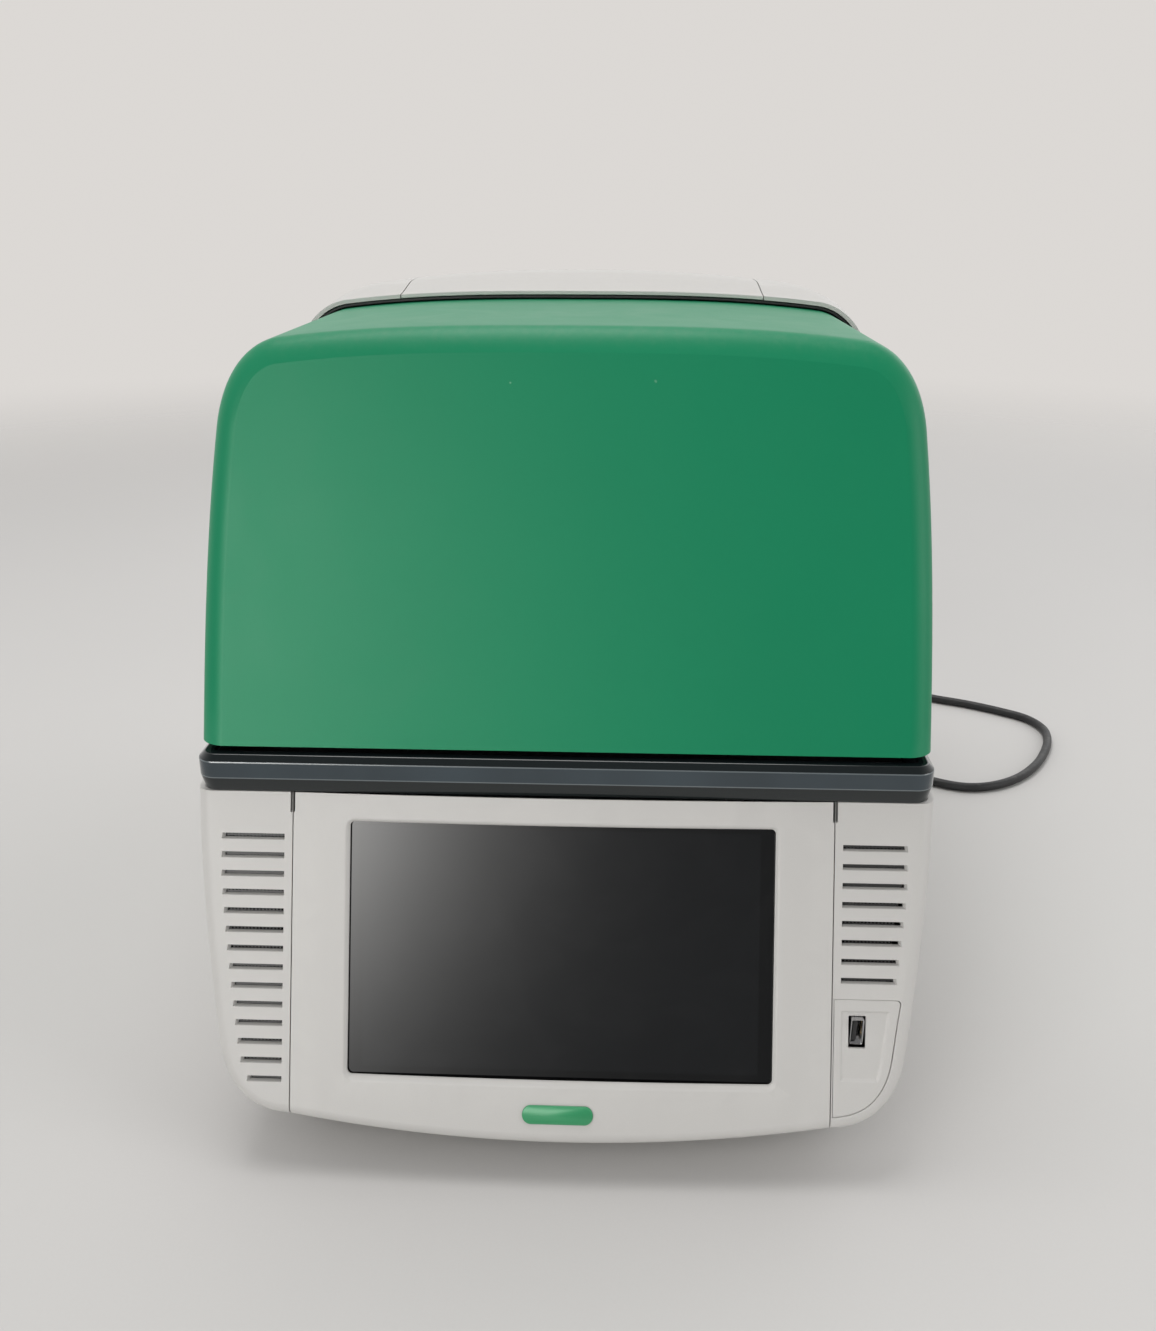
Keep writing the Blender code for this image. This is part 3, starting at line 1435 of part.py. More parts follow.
def make_heated_plate(finish, lid):
    press = empty("press_axis", (0, BLOCK_Y, PLATE_UP), lid)
    low = (-PLATE_WIDE / 2, BLOCK_Y - PLATE_LONG / 2, PLATE_UP)
    high = (PLATE_WIDE / 2, BLOCK_Y + PLATE_LONG / 2, PLATE_UP + PLATE_TALL)
    plate = piece("heated_plate", blocks((low, high)), finish["aluminium"], press)
    pins = [((x, y, PLATE_UP + 0.002), (x, y, PIN_TOP)) for x, y in pin_places()]
    join(plate, rods(PIN_RADIUS, pins, 10), "guide_pin_joiner")


def make_optics(finish, lid):
    """A beam that slides along two rods, and a sensor head that slides along the beam."""
    gantry = empty("gantry_axis", (0, BLOCK_Y, GANTRY_ROD_HEIGHT), lid)
    z = GANTRY_ROD_HEIGHT
    beam = piece(
        "gantry_beam",
        blocks(centred((0, BLOCK_Y, z), (2 * (GANTRY_ROD_X + BEAM_END), BEAM_LONG, BEAM_TALL))),
        finish["aluminium"],
        gantry,
    )
    bores = [
        (
            (sign * GANTRY_ROD_X, BLOCK_Y - 0.02, z),
            (sign * GANTRY_ROD_X, BLOCK_Y + 0.02, z),
        )
        for sign in (-1, 1)
    ]
    cut(beam, rods(GANTRY_ROD_RADIUS + RUNNING_GAP, bores, 16), "beam_bore_cutter")

    head_axis = empty("head_axis", (0, BLOCK_Y, z), gantry)
    head_low = PIN_TOP + HEAD_CLEARANCE
    head = piece(
        "optics_head",
        blocks(
            (
                (-SHUTTLE_WIDE / 2, BLOCK_Y - SHUTTLE_LONG / 2, head_low),
                (SHUTTLE_WIDE / 2, BLOCK_Y + SHUTTLE_LONG / 2, head_low + SHUTTLE_TALL),
            )
        ),
        finish["black"],
        head_axis,
    )
    channel = (0.2, BEAM_LONG + 2 * RUNNING_GAP, BEAM_TALL + 2 * RUNNING_GAP)
    cut(head, blocks(centred((0, BLOCK_Y, z), channel)), "head_channel_cutter")


# ---------------------------------------------------------------- lid drive


def make_drive(finish):
    for name, sign in (("left", -1), ("right", 1)):
        rail = blocks(
            (
                (sign * RAIL_X - RAIL_WIDE / 2, RAIL_FRONT, RAIL_LOW),
                (sign * RAIL_X + RAIL_WIDE / 2, RAIL_REAR, RAIL_LOW + RAIL_TALL),
            )
        )
        piece(f"lid_rail_{name}", rail, finish["steel"])
    axis = empty("screw_axis", (SCREW_X, 0, SCREW_HEIGHT))
    screw = ((SCREW_X, SCREW_FRONT, SCREW_HEIGHT), (SCREW_X, SCREW_REAR, SCREW_HEIGHT))
    piece("drive_screw", rods(SCREW_RADIUS, [screw], 16), finish["steel"], axis)
    bearing = piece(
        "screw_bearing",
        blocks(
            (
                (SCREW_X - BEARING_WIDE / 2, SCREW_FRONT, DECK_HIGH + FIT),
                (SCREW_X + BEARING_WIDE / 2, SCREW_FRONT + BEARING_LONG, SCREW_HEIGHT + BEARING_ABOVE),
            )
        ),
        finish["dark"],
    )
    bore = ((SCREW_X, SCREW_FRONT - 0.01, SCREW_HEIGHT), (SCREW_X, SCREW_FRONT + 0.02, SCREW_HEIGHT))
    cut(bearing, rods(SCREW_RADIUS + FIT, [bore], 16), "bearing_bore_cutter")
    motor_low = Vector((SCREW_X - MOTOR_SIZE / 2, SCREW_REAR + FIT, DECK_HIGH + FIT))
    motor_high = Vector(
        (SCREW_X + MOTOR_SIZE / 2, SCREW_REAR + FIT + MOTOR_LONG, DECK_HIGH + FIT + MOTOR_SIZE)
    )
    piece("lid_motor", blocks((motor_low, motor_high)), finish["black"])


# ---------------------------------------------------------------- mains lead


def smooth_route(points, spacing):
    """Points at even spacing along a smooth curve through the route's own points."""
    points = [Vector(point) for point in points]
    ends = [2 * points[0] - points[1]] + points + [2 * points[-1] - points[-2]]
    fine = [points[0]]
    for i in range(1, len(ends) - 2):
        before, start, end, after = ends[i - 1 : i + 3]
        for k in range(1, 13):
            t = k / 12
            fine.append(
                0.5
                * (
                    2 * start
                    + (end - before) * t
                    + (2 * before - 5 * start + 4 * end - after) * t**2
                    + (3 * start - before - 3 * end + after) * t**3
                )
            )
    lengths = [0.0]
    for a, b in zip(fine, fine[1:]):
        lengths.append(lengths[-1] + (b - a).length)
    count = max(2, round(lengths[-1] / spacing))
    made = []
    place = 0
    for k in range(count + 1):
        target = lengths[-1] * k / count
        while place < len(lengths) - 2 and lengths[place + 1] < target:
            place += 1
        span = lengths[place + 1] - lengths[place]
        share = (target - lengths[place]) / span if span > 0 else 0
        made.append(fine[place].lerp(fine[place + 1], min(1, share)))
    return made


def make_tube(name, route, finish):
    points = smooth_route(route, 2.6 * 2 * CORD_RADIUS)
    curve = bpy.data.curves.new(name, "CURVE")
    curve.dimensions = "3D"
    curve.bevel_depth = CORD_RADIUS
    curve.bevel_resolution = 2
    curve.use_fill_caps = True
    spline = curve.splines.new("POLY")
    spline.points.add(len(points) - 1)
    for point, place in zip(spline.points, points):
        point.co = (*place, 1)
    curve.materials.append(finish)
    made = bpy.data.objects.new(name, curve)
    bpy.context.scene.collection.objects.link(made)


def make_cord(finish):
    x, z = INLET_X, SOCKET_HEIGHT
    face = CONNECTOR_FACE
    grip_end = face + CONNECTOR_GRIP
    size = (CONNECTOR_WIDE, CONNECTOR_GRIP, CONNECTOR_TALL)
    body = blocks(centred((x, face + CONNECTOR_GRIP / 2, z), size))
    grip = piece("cord_connector", bevelled(body, 0.003, 2, along_y), finish["rubber"])
    nose_gap = 2 * FIT
    nose = blocks(
        (
            (x - SOCKET_WIDE / 2 + nose_gap, face - PLUG_NOSE, z - SOCKET_TALL / 2 + nose_gap),
            (x + SOCKET_WIDE / 2 - nose_gap, face + 0.004, z + SOCKET_TALL / 2 - nose_gap),
        )
    )
    join(grip, nose, "connector_nose_joiner")
    route_start = Vector(CORD_ROUTE[0])
    relief = rods(
        RELIEF_RADIUS,
        [((x, grip_end - 0.002, z), (x, route_start.y - 2 * FIT, z))],
        16,
        CORD_RADIUS + RELIEF_SKIN,
    )
    join(grip, relief, "connector_relief_joiner")

    make_tube("cord_lead", CORD_ROUTE, finish["rubber"])
    inner = COIL_MIDDLE_RADIUS - COIL_BAND / 2
    outer = COIL_MIDDLE_RADIUS + COIL_BAND / 2
    low, high = COIL_LIFT, COIL_LIFT + COIL_BAND
    corner = COIL_CORNER
    profile = [
        (inner, high - corner),
        (inner + corner, high),
        (outer - corner, high),
        (outer, high - corner),
        (outer, low + corner),
        (outer - corner, low),
        (inner + corner, low),
        (inner, low + corner),
    ]
    bm = bmesh.new()
    rows = []
    sides = 36
    for k in range(sides):
        turn = 2 * pi * k / sides
        rows.append(
            [
                bm.verts.new(COIL_CENTRE + Vector((r * cos(turn), r * sin(turn), height)))
                for r, height in profile
            ]
        )
    for k in range(sides):
        near, far = rows[k], rows[(k + 1) % sides]
        for i in range(len(profile)):
            j = (i + 1) % len(profile)
            bm.faces.new((near[i], near[j], far[j], far[i]))
    piece("cord_coil", bm, finish["rubber"])
    make_tube("cord_tail", TAIL_ROUTE, finish["rubber"])
    make_plug(finish)


def make_plug(finish):
    """A moulded mains plug lying on the bench, with two round pins."""
    end, before = Vector(TAIL_ROUTE[-1]), Vector(TAIL_ROUTE[-2])
    heading = Vector((end.x - before.x, end.y - before.y, 0)).normalized()
    across = Vector((-heading.y, heading.x, 0))
    up = Vector((0, 0, 1))
    start = end + heading * 2 * FIT
    frame = Matrix((heading, across, up)).transposed()
    middle = PLUG_BODY.z / 2 + PLUG_LIFT
    shoulder = PLUG_RELIEF + PLUG_SHOULDER
    nose = shoulder + PLUG_BODY.x

    def ring(distance, half_wide, half_tall, height):
        corners = []
        for k in range(12):
            angle = 2 * pi * k / 12 + pi / 12
            wide = abs(cos(angle)) ** 0.6 * (1 if cos(angle) > 0 else -1)
            tall = abs(sin(angle)) ** 0.6 * (1 if sin(angle) > 0 else -1)
            place = Vector((distance, wide * half_wide, tall * half_tall))
            corners.append(start + frame @ place + up * (height - start.z))
        return corners

    plug = piece(
        "mains_plug",
        loft(
            ring(0, CORD_RADIUS + RELIEF_SKIN, CORD_RADIUS + RELIEF_SKIN, end.z),
            ring(PLUG_RELIEF, 0.0075, 0.0060, middle),
            ring(shoulder, PLUG_BODY.y / 2, PLUG_BODY.z / 2, middle),
            ring(nose, PLUG_BODY.y / 2, PLUG_BODY.z / 2, middle),
        ),
        finish["rubber"],
    )
    pins = []
    for sign in (-1, 1):
        root = start + heading * (nose - 0.002) + across * sign * PLUG_PIN_SPACING / 2
        root.z = middle
        pins.append((root, root + heading * (PLUG_PIN_LONG + 0.002)))
    join(plug, rods(PLUG_PIN_RADIUS, pins, 10), "plug_pin_joiner")


# ---------------------------------------------------------------- assembly


def finishes():
    return {
        "cover": material("cover_white", (0.62, 0.61, 0.58), 0.42),
        "hood": material("hood_white", (0.60, 0.59, 0.57), 0.45),
        "green": material("lid_green", (0.024, 0.27, 0.105), 0.36),
        "smoke": material("smoke_band", (0.060, 0.085, 0.10), 0.12),
        "dark": material("dark_plastic", (0.035, 0.037, 0.040), 0.5),
        "black": material("black_plastic", (0.012, 0.012, 0.013), 0.45),
        "glass": material("display_glass", (0.005, 0.005, 0.006), 0.05),
        "rubber": material("black_rubber", (0.014, 0.014, 0.015), 0.65),
        "steel": material("bright_steel", (0.60, 0.60, 0.60), 0.3, 1.0),
        "sheet": material("zinc_sheet", (0.52, 0.53, 0.53), 0.42, 1.0),
        "mesh": material("vent_mesh", (0.12, 0.12, 0.13), 0.5, 0.6),
        "aluminium": material("aluminium", (0.70, 0.71, 0.72), 0.35, 1.0),
        "ceramic": material("ceramic_white", (0.75, 0.75, 0.72), 0.6),
        "brass": material("brass", (0.62, 0.44, 0.17), 0.35, 1.0),
        "board": material("circuit_board", (0.016, 0.10, 0.05), 0.5),
    }


def main():
    clear_scene()
    finish = finishes()
    make_base(finish)
    make_port(finish)
    make_feet(finish)
    make_pan(finish)
    make_bezel(finish)
    make_display(finish)
    make_badge(finish)
    make_meshes(finish)
    make_band(finish)
    make_deck(finish)
    make_block(finish)
    make_chassis(finish)
    make_electronics(finish)
    make_rear_panel(finish)
    make_network_socket(finish)
    make_fans(finish)
    make_inlet(finish)
    make_hood(finish)
    make_drive(finish)
    lid = empty("lid_axis", (0, LID_REAR, LID_LOW))
    make_lid(finish, lid)
    make_heated_plate(finish, lid)
    make_optics(finish, lid)
    make_cord(finish)


main()
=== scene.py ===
from math import cos, pi, radians, sin, tan

import bmesh
import bpy
from mathutils import Matrix, Vector


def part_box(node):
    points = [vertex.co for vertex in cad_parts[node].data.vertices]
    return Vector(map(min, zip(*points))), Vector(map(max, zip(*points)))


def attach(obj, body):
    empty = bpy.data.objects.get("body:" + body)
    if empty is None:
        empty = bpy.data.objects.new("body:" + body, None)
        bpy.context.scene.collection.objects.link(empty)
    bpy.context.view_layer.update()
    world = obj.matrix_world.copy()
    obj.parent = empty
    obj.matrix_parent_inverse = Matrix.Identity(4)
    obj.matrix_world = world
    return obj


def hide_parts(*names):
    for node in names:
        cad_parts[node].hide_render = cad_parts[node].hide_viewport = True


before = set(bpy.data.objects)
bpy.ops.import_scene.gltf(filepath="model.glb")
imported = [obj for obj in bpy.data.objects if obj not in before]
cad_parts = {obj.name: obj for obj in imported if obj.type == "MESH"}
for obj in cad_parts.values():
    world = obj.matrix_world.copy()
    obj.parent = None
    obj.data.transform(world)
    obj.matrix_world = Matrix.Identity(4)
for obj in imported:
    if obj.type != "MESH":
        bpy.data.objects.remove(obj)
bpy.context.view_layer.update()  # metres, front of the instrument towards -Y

print("frame loaded")

# camera

view = {
    "lens": 38.30,
    "sensor": 36.0,
    "place": (0.0247, -0.6983, 0.4142),
    "lookDown": 20.914,
    "lookLeft": 2.146,
    "roll": 0.112,
    "shift": 0.0010,
}


def makeCamera():
    down, turn, roll = radians(view["lookDown"]), radians(-view["lookLeft"]), radians(view["roll"])
    ahead = Vector((sin(turn) * cos(down), cos(turn) * cos(down), -sin(down)))
    level = Vector((cos(turn), -sin(turn), 0))
    rise = level.cross(ahead)
    right = cos(roll) * level + sin(roll) * rise
    up = -sin(roll) * level + cos(roll) * rise
    lens = bpy.data.cameras.new("camera")
    lens.sensor_fit = "HORIZONTAL"
    lens.sensor_width = view["sensor"]
    lens.lens = view["lens"]
    lens.shift_x = view["shift"]
    camera = bpy.data.objects.new("camera", lens)
    bpy.context.scene.collection.objects.link(camera)
    turned = Matrix((right, up, -ahead)).transposed().to_4x4()
    turned.translation = Vector(view["place"])
    camera.matrix_world = turned
    bpy.context.scene.camera = camera


makeCamera()

# mesh helpers


def addPiece(name, bm, material, body="housing", creaseAngle=30):
    bmesh.ops.remove_doubles(bm, verts=bm.verts, dist=1e-7)
    bmesh.ops.recalc_face_normals(bm, faces=bm.faces)
    mesh = bpy.data.meshes.new(name)
    bm.to_mesh(mesh)
    bm.free()
    mesh.shade_smooth()
    mesh.set_sharp_from_angle(angle=radians(creaseAngle))
    made = bpy.data.objects.new(name, mesh)
    bpy.context.scene.collection.objects.link(made)
    if material:
        mesh.materials.append(material)
        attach(made, body)
    return made


def settle(piece):  # turns a piece's modifiers into plain mesh
    graph = bpy.context.evaluated_depsgraph_get()
    made = bpy.data.meshes.new_from_object(piece.evaluated_get(graph))
    piece.modifiers.clear()
    old, piece.data = piece.data, made
    bpy.data.meshes.remove(old)


def carve(piece, bm, how="DIFFERENCE"):
    tool = addPiece(piece.name + "Tool", bm, None)
    change = piece.modifiers.new("carve", "BOOLEAN")
    change.operation = how
    change.object = tool
    change.solver = "EXACT"
    settle(piece)
    bpy.data.objects.remove(tool)


def roundEdges(piece, width, segments=2, angle=28):
    bm = bmesh.new()
    bm.from_mesh(piece.data)
    bmesh.ops.remove_doubles(bm, verts=bm.verts, dist=2e-6)
    bm.to_mesh(piece.data)
    bm.free()
    piece.data.shade_smooth()
    bevel = piece.modifiers.new("roundEdges", "BEVEL")
    bevel.width = width
    bevel.segments = segments
    bevel.limit_method = "ANGLE"
    bevel.angle_limit = radians(angle)
    bevel.miter_outer = "MITER_ARC"
    flatten = piece.modifiers.new("flatten", "WEIGHTED_NORMAL")
    flatten.keep_sharp = True
    flatten.weight = 60
    settle(piece)


def skin(bm, rows):  # closed solid over rows of vertices, each row a ring
    for near, far in zip(rows, rows[1:]):
        for i in range(len(near)):
            j = (i + 1) % len(near)
            bm.faces.new((near[i], near[j], far[j], far[i]))
    bm.faces.new(rows[0][::-1])
    bm.faces.new(rows[-1])
    return bm


def loft(*rings, bm=None):  # closed solid through rings of equal point counts
    bm = bm or bmesh.new()
    return skin(bm, [[bm.verts.new(point) for point in ring] for ring in rings])


def boxes(*spans, bm=None):
    bm = bm or bmesh.new()
    for low, high in spans:
        low, high = Vector(low), Vector(high)
        made = bmesh.ops.create_cube(bm, size=1)["verts"]
        bmesh.ops.scale(bm, vec=high - low, verts=made)
        bmesh.ops.translate(bm, vec=(low + high) / 2, verts=made)
    return bm


def lathe(profile, place, axis=(0, 0, 1), sides=48, bm=None):  # profile of (radius, height) along an axis
    bm = bm or bmesh.new()
    turn = Vector((0, 0, 1)).rotation_difference(Vector(axis)).to_matrix()
    rows = []
    for radius, height in profile:
        ring = []
        for k in range(sides):
            angle = 2 * pi * k / sides
            spot = Vector((radius * cos(angle), radius * sin(angle), height))
            ring.append(bm.verts.new(Vector(place) + turn @ spot))
        rows.append(ring)
    return skin(bm, rows)


def roundedRect(halfWide, halfTall, radius, steps=6, along=0):  # points anticlockwise, long sides divided
    made = []
    corners = ((1, -1, -90), (1, 1, 0), (-1, 1, 90), (-1, -1, 180))
    for signX, signY, start in corners:
        for k in range(steps + 1):
            angle = radians(start + 90 * k / steps)
            made.append(
                (
                    signX * (halfWide - radius) + radius * cos(angle),
                    signY * (halfTall - radius) + radius * sin(angle),
                )
            )
    if not along:
        return made
    full = []
    for i, (x, z) in enumerate(made):
        full.append((x, z))
        nextX, nextZ = made[(i + 1) % len(made)]
        if abs(nextX - x) + abs(nextZ - z) > 4 * radius:
            full += [(x + (nextX - x) * k / along, z + (nextZ - z) * k / along) for k in range(1, along)]
    return full


def smooth(share):  # eases from 0 to 1
    return share * share * (3 - 2 * share)


def bezier(a, b, c, d, steps):
    made = []
    for k in range(1, steps + 1):
        t = k / steps
        weights = ((1 - t) ** 3, 3 * t * (1 - t) ** 2, 3 * t * t * (1 - t), t**3)
        made.append(tuple(sum(w * p[i] for w, p in zip(weights, (a, b, c, d))) for i in (0, 1)))
    return made


def inwardNormals(half, first=(-1, 0), last=(0, -1)):
    made = [Vector(first)]
    for before, after in zip(half, half[2:]):
        along = (Vector(after) - Vector(before)).normalized()
        made.append(Vector((-along.y, along.x)))
    return made + [Vector(last)]


def movedIn(half, distance, first=(-1, 0), last=(0, -1)):
    normals = inwardNormals(half, first, last)
    return [(x + normal.x * distance, z + normal.y * distance) for (x, z), normal in zip(half, normals)]


def insetLoop(loop, distance):
    made = []
    for i in range(len(loop)):
        before, here, after = Vector(loop[i - 1]), Vector(loop[i]), Vector(loop[(i + 1) % len(loop)])
        a, b = (here - before).normalized(), (after - here).normalized()
        mid = Vector((-a.y - b.y, a.x + b.x)).normalized()
        reach = distance / max(0.5, mid.dot(Vector((-a.y, a.x))))
        made.append((here.x + mid.x * reach, here.y + mid.y * reach))
    return made


def bothSides(half):
    return list(half) + [(-x, z) for x, z in reversed(half) if abs(x) > 1e-9]


def smoothLine(points, spacing):
    points = [Vector(point) for point in points]
    ends = [2 * points[0] - points[1]] + points + [2 * points[-1] - points[-2]]
    fine = [points[0]]
    for i in range(1, len(ends) - 2):
        before, start, end, after = ends[i - 1 : i + 3]
        steps = max(2, round((end - start).length / spacing))
        for k in range(1, steps + 1):
            t = k / steps
            fine.append(
                0.5 * (2 * start + (end - before) * t + (2 * before - 5 * start + 4 * end - after) * t**2
                       + (3 * start - before - 3 * end + after) * t**3)
            )
    return fine


def sweep(points, radii, sides=14, bm=None):  # tube along points, one radius or one for each
    bm = bm or bmesh.new()
    rows, normal = [], None
    for i, place in enumerate(points):
        along = (points[min(i + 1, len(points) - 1)] - points[max(i - 1, 0)]).normalized()
        normal = along.orthogonal() if normal is None else normal - along * normal.dot(along)
        normal.normalize()
        across = along.cross(normal)
        radius = radii[i] if isinstance(radii, (list, tuple)) else radii
        rows.append(
            [
                bm.verts.new(
                    place + radius * (normal * cos(2 * pi * k / sides) + across * sin(2 * pi * k / sides))
                )
                for k in range(sides)
            ]
        )
    return skin(bm, rows)


def middleOf(node):
    low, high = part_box(node)
    return (low + high) / 2


# shader groups


def groupWith(name, inputs, outputs):
    tree = bpy.data.node_groups.new(name, "ShaderNodeTree")
    for label, kind, value in inputs:
        socket = tree.interface.new_socket(label, in_out="INPUT", socket_type=kind)
        socket.default_value = value
    for label, kind in outputs:
        tree.interface.new_socket(label, in_out="OUTPUT", socket_type=kind)
    return tree, tree.nodes.new("NodeGroupInput"), tree.nodes.new("NodeGroupOutput")


def addNode(tree, kind, links=(), **values):
    node = tree.nodes.new(kind)
    for key, value in values.items():
        setattr(node, key, value)
    for target, source in links:
        socket = node.inputs[target]
        if isinstance(source, bpy.types.NodeSocket):
            tree.links.new(source, socket)
        else:
            socket.default_value = source
    return node


def objectPlace(tree):
    return addNode(tree, "ShaderNodeTexCoord").outputs["Object"]


def noise(tree, where, scale, detail=2.0, distortion=0.0):
    links = [("Vector", where), ("Scale", scale), ("Detail", detail), ("Distortion", distortion)]
    return addNode(tree, "ShaderNodeTexNoise", links).outputs[0]


def vectorMaths(tree, how, a, b, output=0):
    return addNode(tree, "ShaderNodeVectorMath", [(0, a), (1, b)], operation=how).outputs[output]


def axesOf(tree, vector):  # x, y and z of a vector
    return addNode(tree, "ShaderNodeSeparateXYZ", [(0, vector)]).outputs


def maths(tree, how, a, b=0.0, clamp=False):
    return addNode(tree, "ShaderNodeMath", [(0, a), (1, b)], operation=how, use_clamp=clamp).outputs[0]


def times(tree, a, b, clamp=False):
    return maths(tree, "MULTIPLY", a, b, clamp)


def plus(tree, a, b, clamp=False):
    return maths(tree, "ADD", a, b, clamp)


def spread(tree, value, low, high, toLow=0.0, toHigh=1.0, shape="LINEAR"):
    links = [("Value", value), ("From Min", low), ("From Max", high), ("To Min", toLow), ("To Max", toHigh)]
    return addNode(tree, "ShaderNodeMapRange", links, interpolation_type=shape).outputs[0]


def blendColour(tree, share, a, b):  # a and b are sockets or (red, green, blue)
    node = addNode(tree, "ShaderNodeMix", data_type="RGBA")
    for socket, source in ((node.inputs[0], share), (node.inputs[6], a), (node.inputs[7], b)):
        if isinstance(source, bpy.types.NodeSocket):
            tree.links.new(source, socket)
        else:
            socket.default_value = (*source, 1) if isinstance(source, (tuple, list)) else source
    return node.outputs[2]


def mouldedSurfaceGroup():
    # moulded plastic: slow colour drift, spark-eroded grain, handling marks, dust on upward faces, worn edges
    tree, given, out = groupWith(
        "mouldedSurface",
        [
            ("Base", "NodeSocketColor", (0.6, 0.6, 0.6, 1)),
            ("Worn", "NodeSocketColor", (0.8, 0.8, 0.8, 1)),
            ("Drift", "NodeSocketFloat", 0.04),
            ("Grain Scale", "NodeSocketFloat", 1400.0),
            ("Roughness", "NodeSocketFloat", 0.4),
            ("Handling", "NodeSocketFloat", 0.08),
            ("Dust", "NodeSocketFloat", 0.1),
            ("Edge Wear", "NodeSocketFloat", 0.2),
        ],
        [("Color", "NodeSocketColor"), ("Roughness", "NodeSocketFloat"), ("Height", "NodeSocketFloat")],
    )
    where = objectPlace(tree)
    slow = noise(tree, where, 9.0, 3.0)
    hands = noise(tree, where, 38.0, 5.0, 0.8)
    grain = noise(tree, where, given.outputs["Grain Scale"], 2.0)
    fine = addNode(
        tree, "ShaderNodeTexVoronoi", [("Vector", where), ("Scale", given.outputs["Grain Scale"])]
    ).outputs[0]
    tone = times(tree, maths(tree, "SUBTRACT", slow, 0.5), given.outputs["Drift"])
    grainTone = times(tree, maths(tree, "SUBTRACT", grain, 0.5), times(tree, given.outputs["Drift"], 0.6))
    level = plus(tree, plus(tree, tone, grainTone), 1.0)
    toned = addNode(tree, "ShaderNodeVectorMath", [(0, given.outputs["Base"])], operation="SCALE")
    tree.links.new(level, toned.inputs["Scale"])
    geometry = addNode(tree, "ShaderNodeNewGeometry")
    rim = times(
        tree, spread(tree, geometry.outputs["Pointiness"], 0.515, 0.60), given.outputs["Edge Wear"], True
    )
    rim = times(tree, rim, spread(tree, hands, 0.35, 0.6), True)
    worn = blendColour(tree, rim, toned.outputs[0], given.outputs["Worn"])
    upward = axesOf(tree, geometry.outputs["Normal"])[2]
    speck = noise(tree, where, 260.0, 4.0)
    dust = times(tree, spread(tree, upward, 0.55, 0.95), spread(tree, speck, 0.45, 0.75), True)
    dust = times(tree, dust, given.outputs["Dust"], True)
    tree.links.new(blendColour(tree, dust, worn, (0.50, 0.49, 0.46)), out.inputs["Color"])
    marks = times(tree, maths(tree, "SUBTRACT", hands, 0.5), given.outputs["Handling"])
    rough = plus(tree, plus(tree, given.outputs["Roughness"], marks), times(tree, dust, 0.3), True)
    tree.links.new(rough, out.inputs["Roughness"])
    tree.links.new(plus(tree, times(tree, fine, 0.5), grain), out.inputs["Height"])
    return tree


def brushedMetalGroup():
    # metal: fine lines along one axis, broad tarnish and small handling marks
    tree, given, out = groupWith(
        "brushedMetal",
        [
            ("Base", "NodeSocketColor", (0.6, 0.6, 0.6, 1)),
            ("Tarnish", "NodeSocketColor", (0.4, 0.4, 0.4, 1)),
            ("Line Spacing", "NodeSocketVector", (60.0, 2500.0, 2500.0)),
            ("Roughness", "NodeSocketFloat", 0.3),
            ("Variation", "NodeSocketFloat", 0.15),
        ],
        [("Color", "NodeSocketColor"), ("Roughness", "NodeSocketFloat"), ("Height", "NodeSocketFloat")],
    )
    where = objectPlace(tree)
    stretched = vectorMaths(tree, "MULTIPLY", where, given.outputs["Line Spacing"])
    lines = noise(tree, stretched, 1.0, 3.0)
    broad = noise(tree, where, 45.0, 4.0)
    share = times(tree, spread(tree, broad, 0.35, 0.75), given.outputs["Variation"], True)
    colour = blendColour(tree, share, given.outputs["Base"], given.outputs["Tarnish"])
    tree.links.new(
        blendColour(tree, times(tree, lines, 0.18), colour, given.outputs["Tarnish"]), out.inputs["Color"]
    )
    marks = times(tree, maths(tree, "SUBTRACT", plus(tree, lines, broad), 1.0), given.outputs["Variation"])
    tree.links.new(plus(tree, given.outputs["Roughness"], marks, True), out.inputs["Roughness"])
    tree.links.new(lines, out.inputs["Height"])
    return tree


mouldedSurface = mouldedSurfaceGroup()
brushedMetal = brushedMetalGroup()

# materials


def startMaterial(name):
    material = bpy.data.materials.new(name)
    material.use_nodes = True
    tree = material.node_tree
    return material, tree, tree.nodes["Principled BSDF"]


def addBump(tree, shader, height, distance, strength=1.0):
    bump = addNode(
        tree, "ShaderNodeBump", [("Height", height), ("Distance", distance), ("Strength", strength)]
    )
    tree.links.new(bump.outputs[0], shader.inputs["Normal"])


def groupMaterial(name, group, values, bumpHeight):  # a finish made by one of the shared groups
    material, tree, shader = startMaterial(name)
    surface = tree.nodes.new("ShaderNodeGroup")
    surface.node_tree = group
    for key, value in values.items():
        surface.inputs[key].default_value = (*value, 1) if key in ("Base", "Worn", "Tarnish") else value
    tree.links.new(surface.outputs["Color"], shader.inputs["Base Color"])
    tree.links.new(surface.outputs["Roughness"], shader.inputs["Roughness"])
    if bumpHeight:
        addBump(tree, shader, surface.outputs["Height"], bumpHeight)
    return material, tree, shader, surface


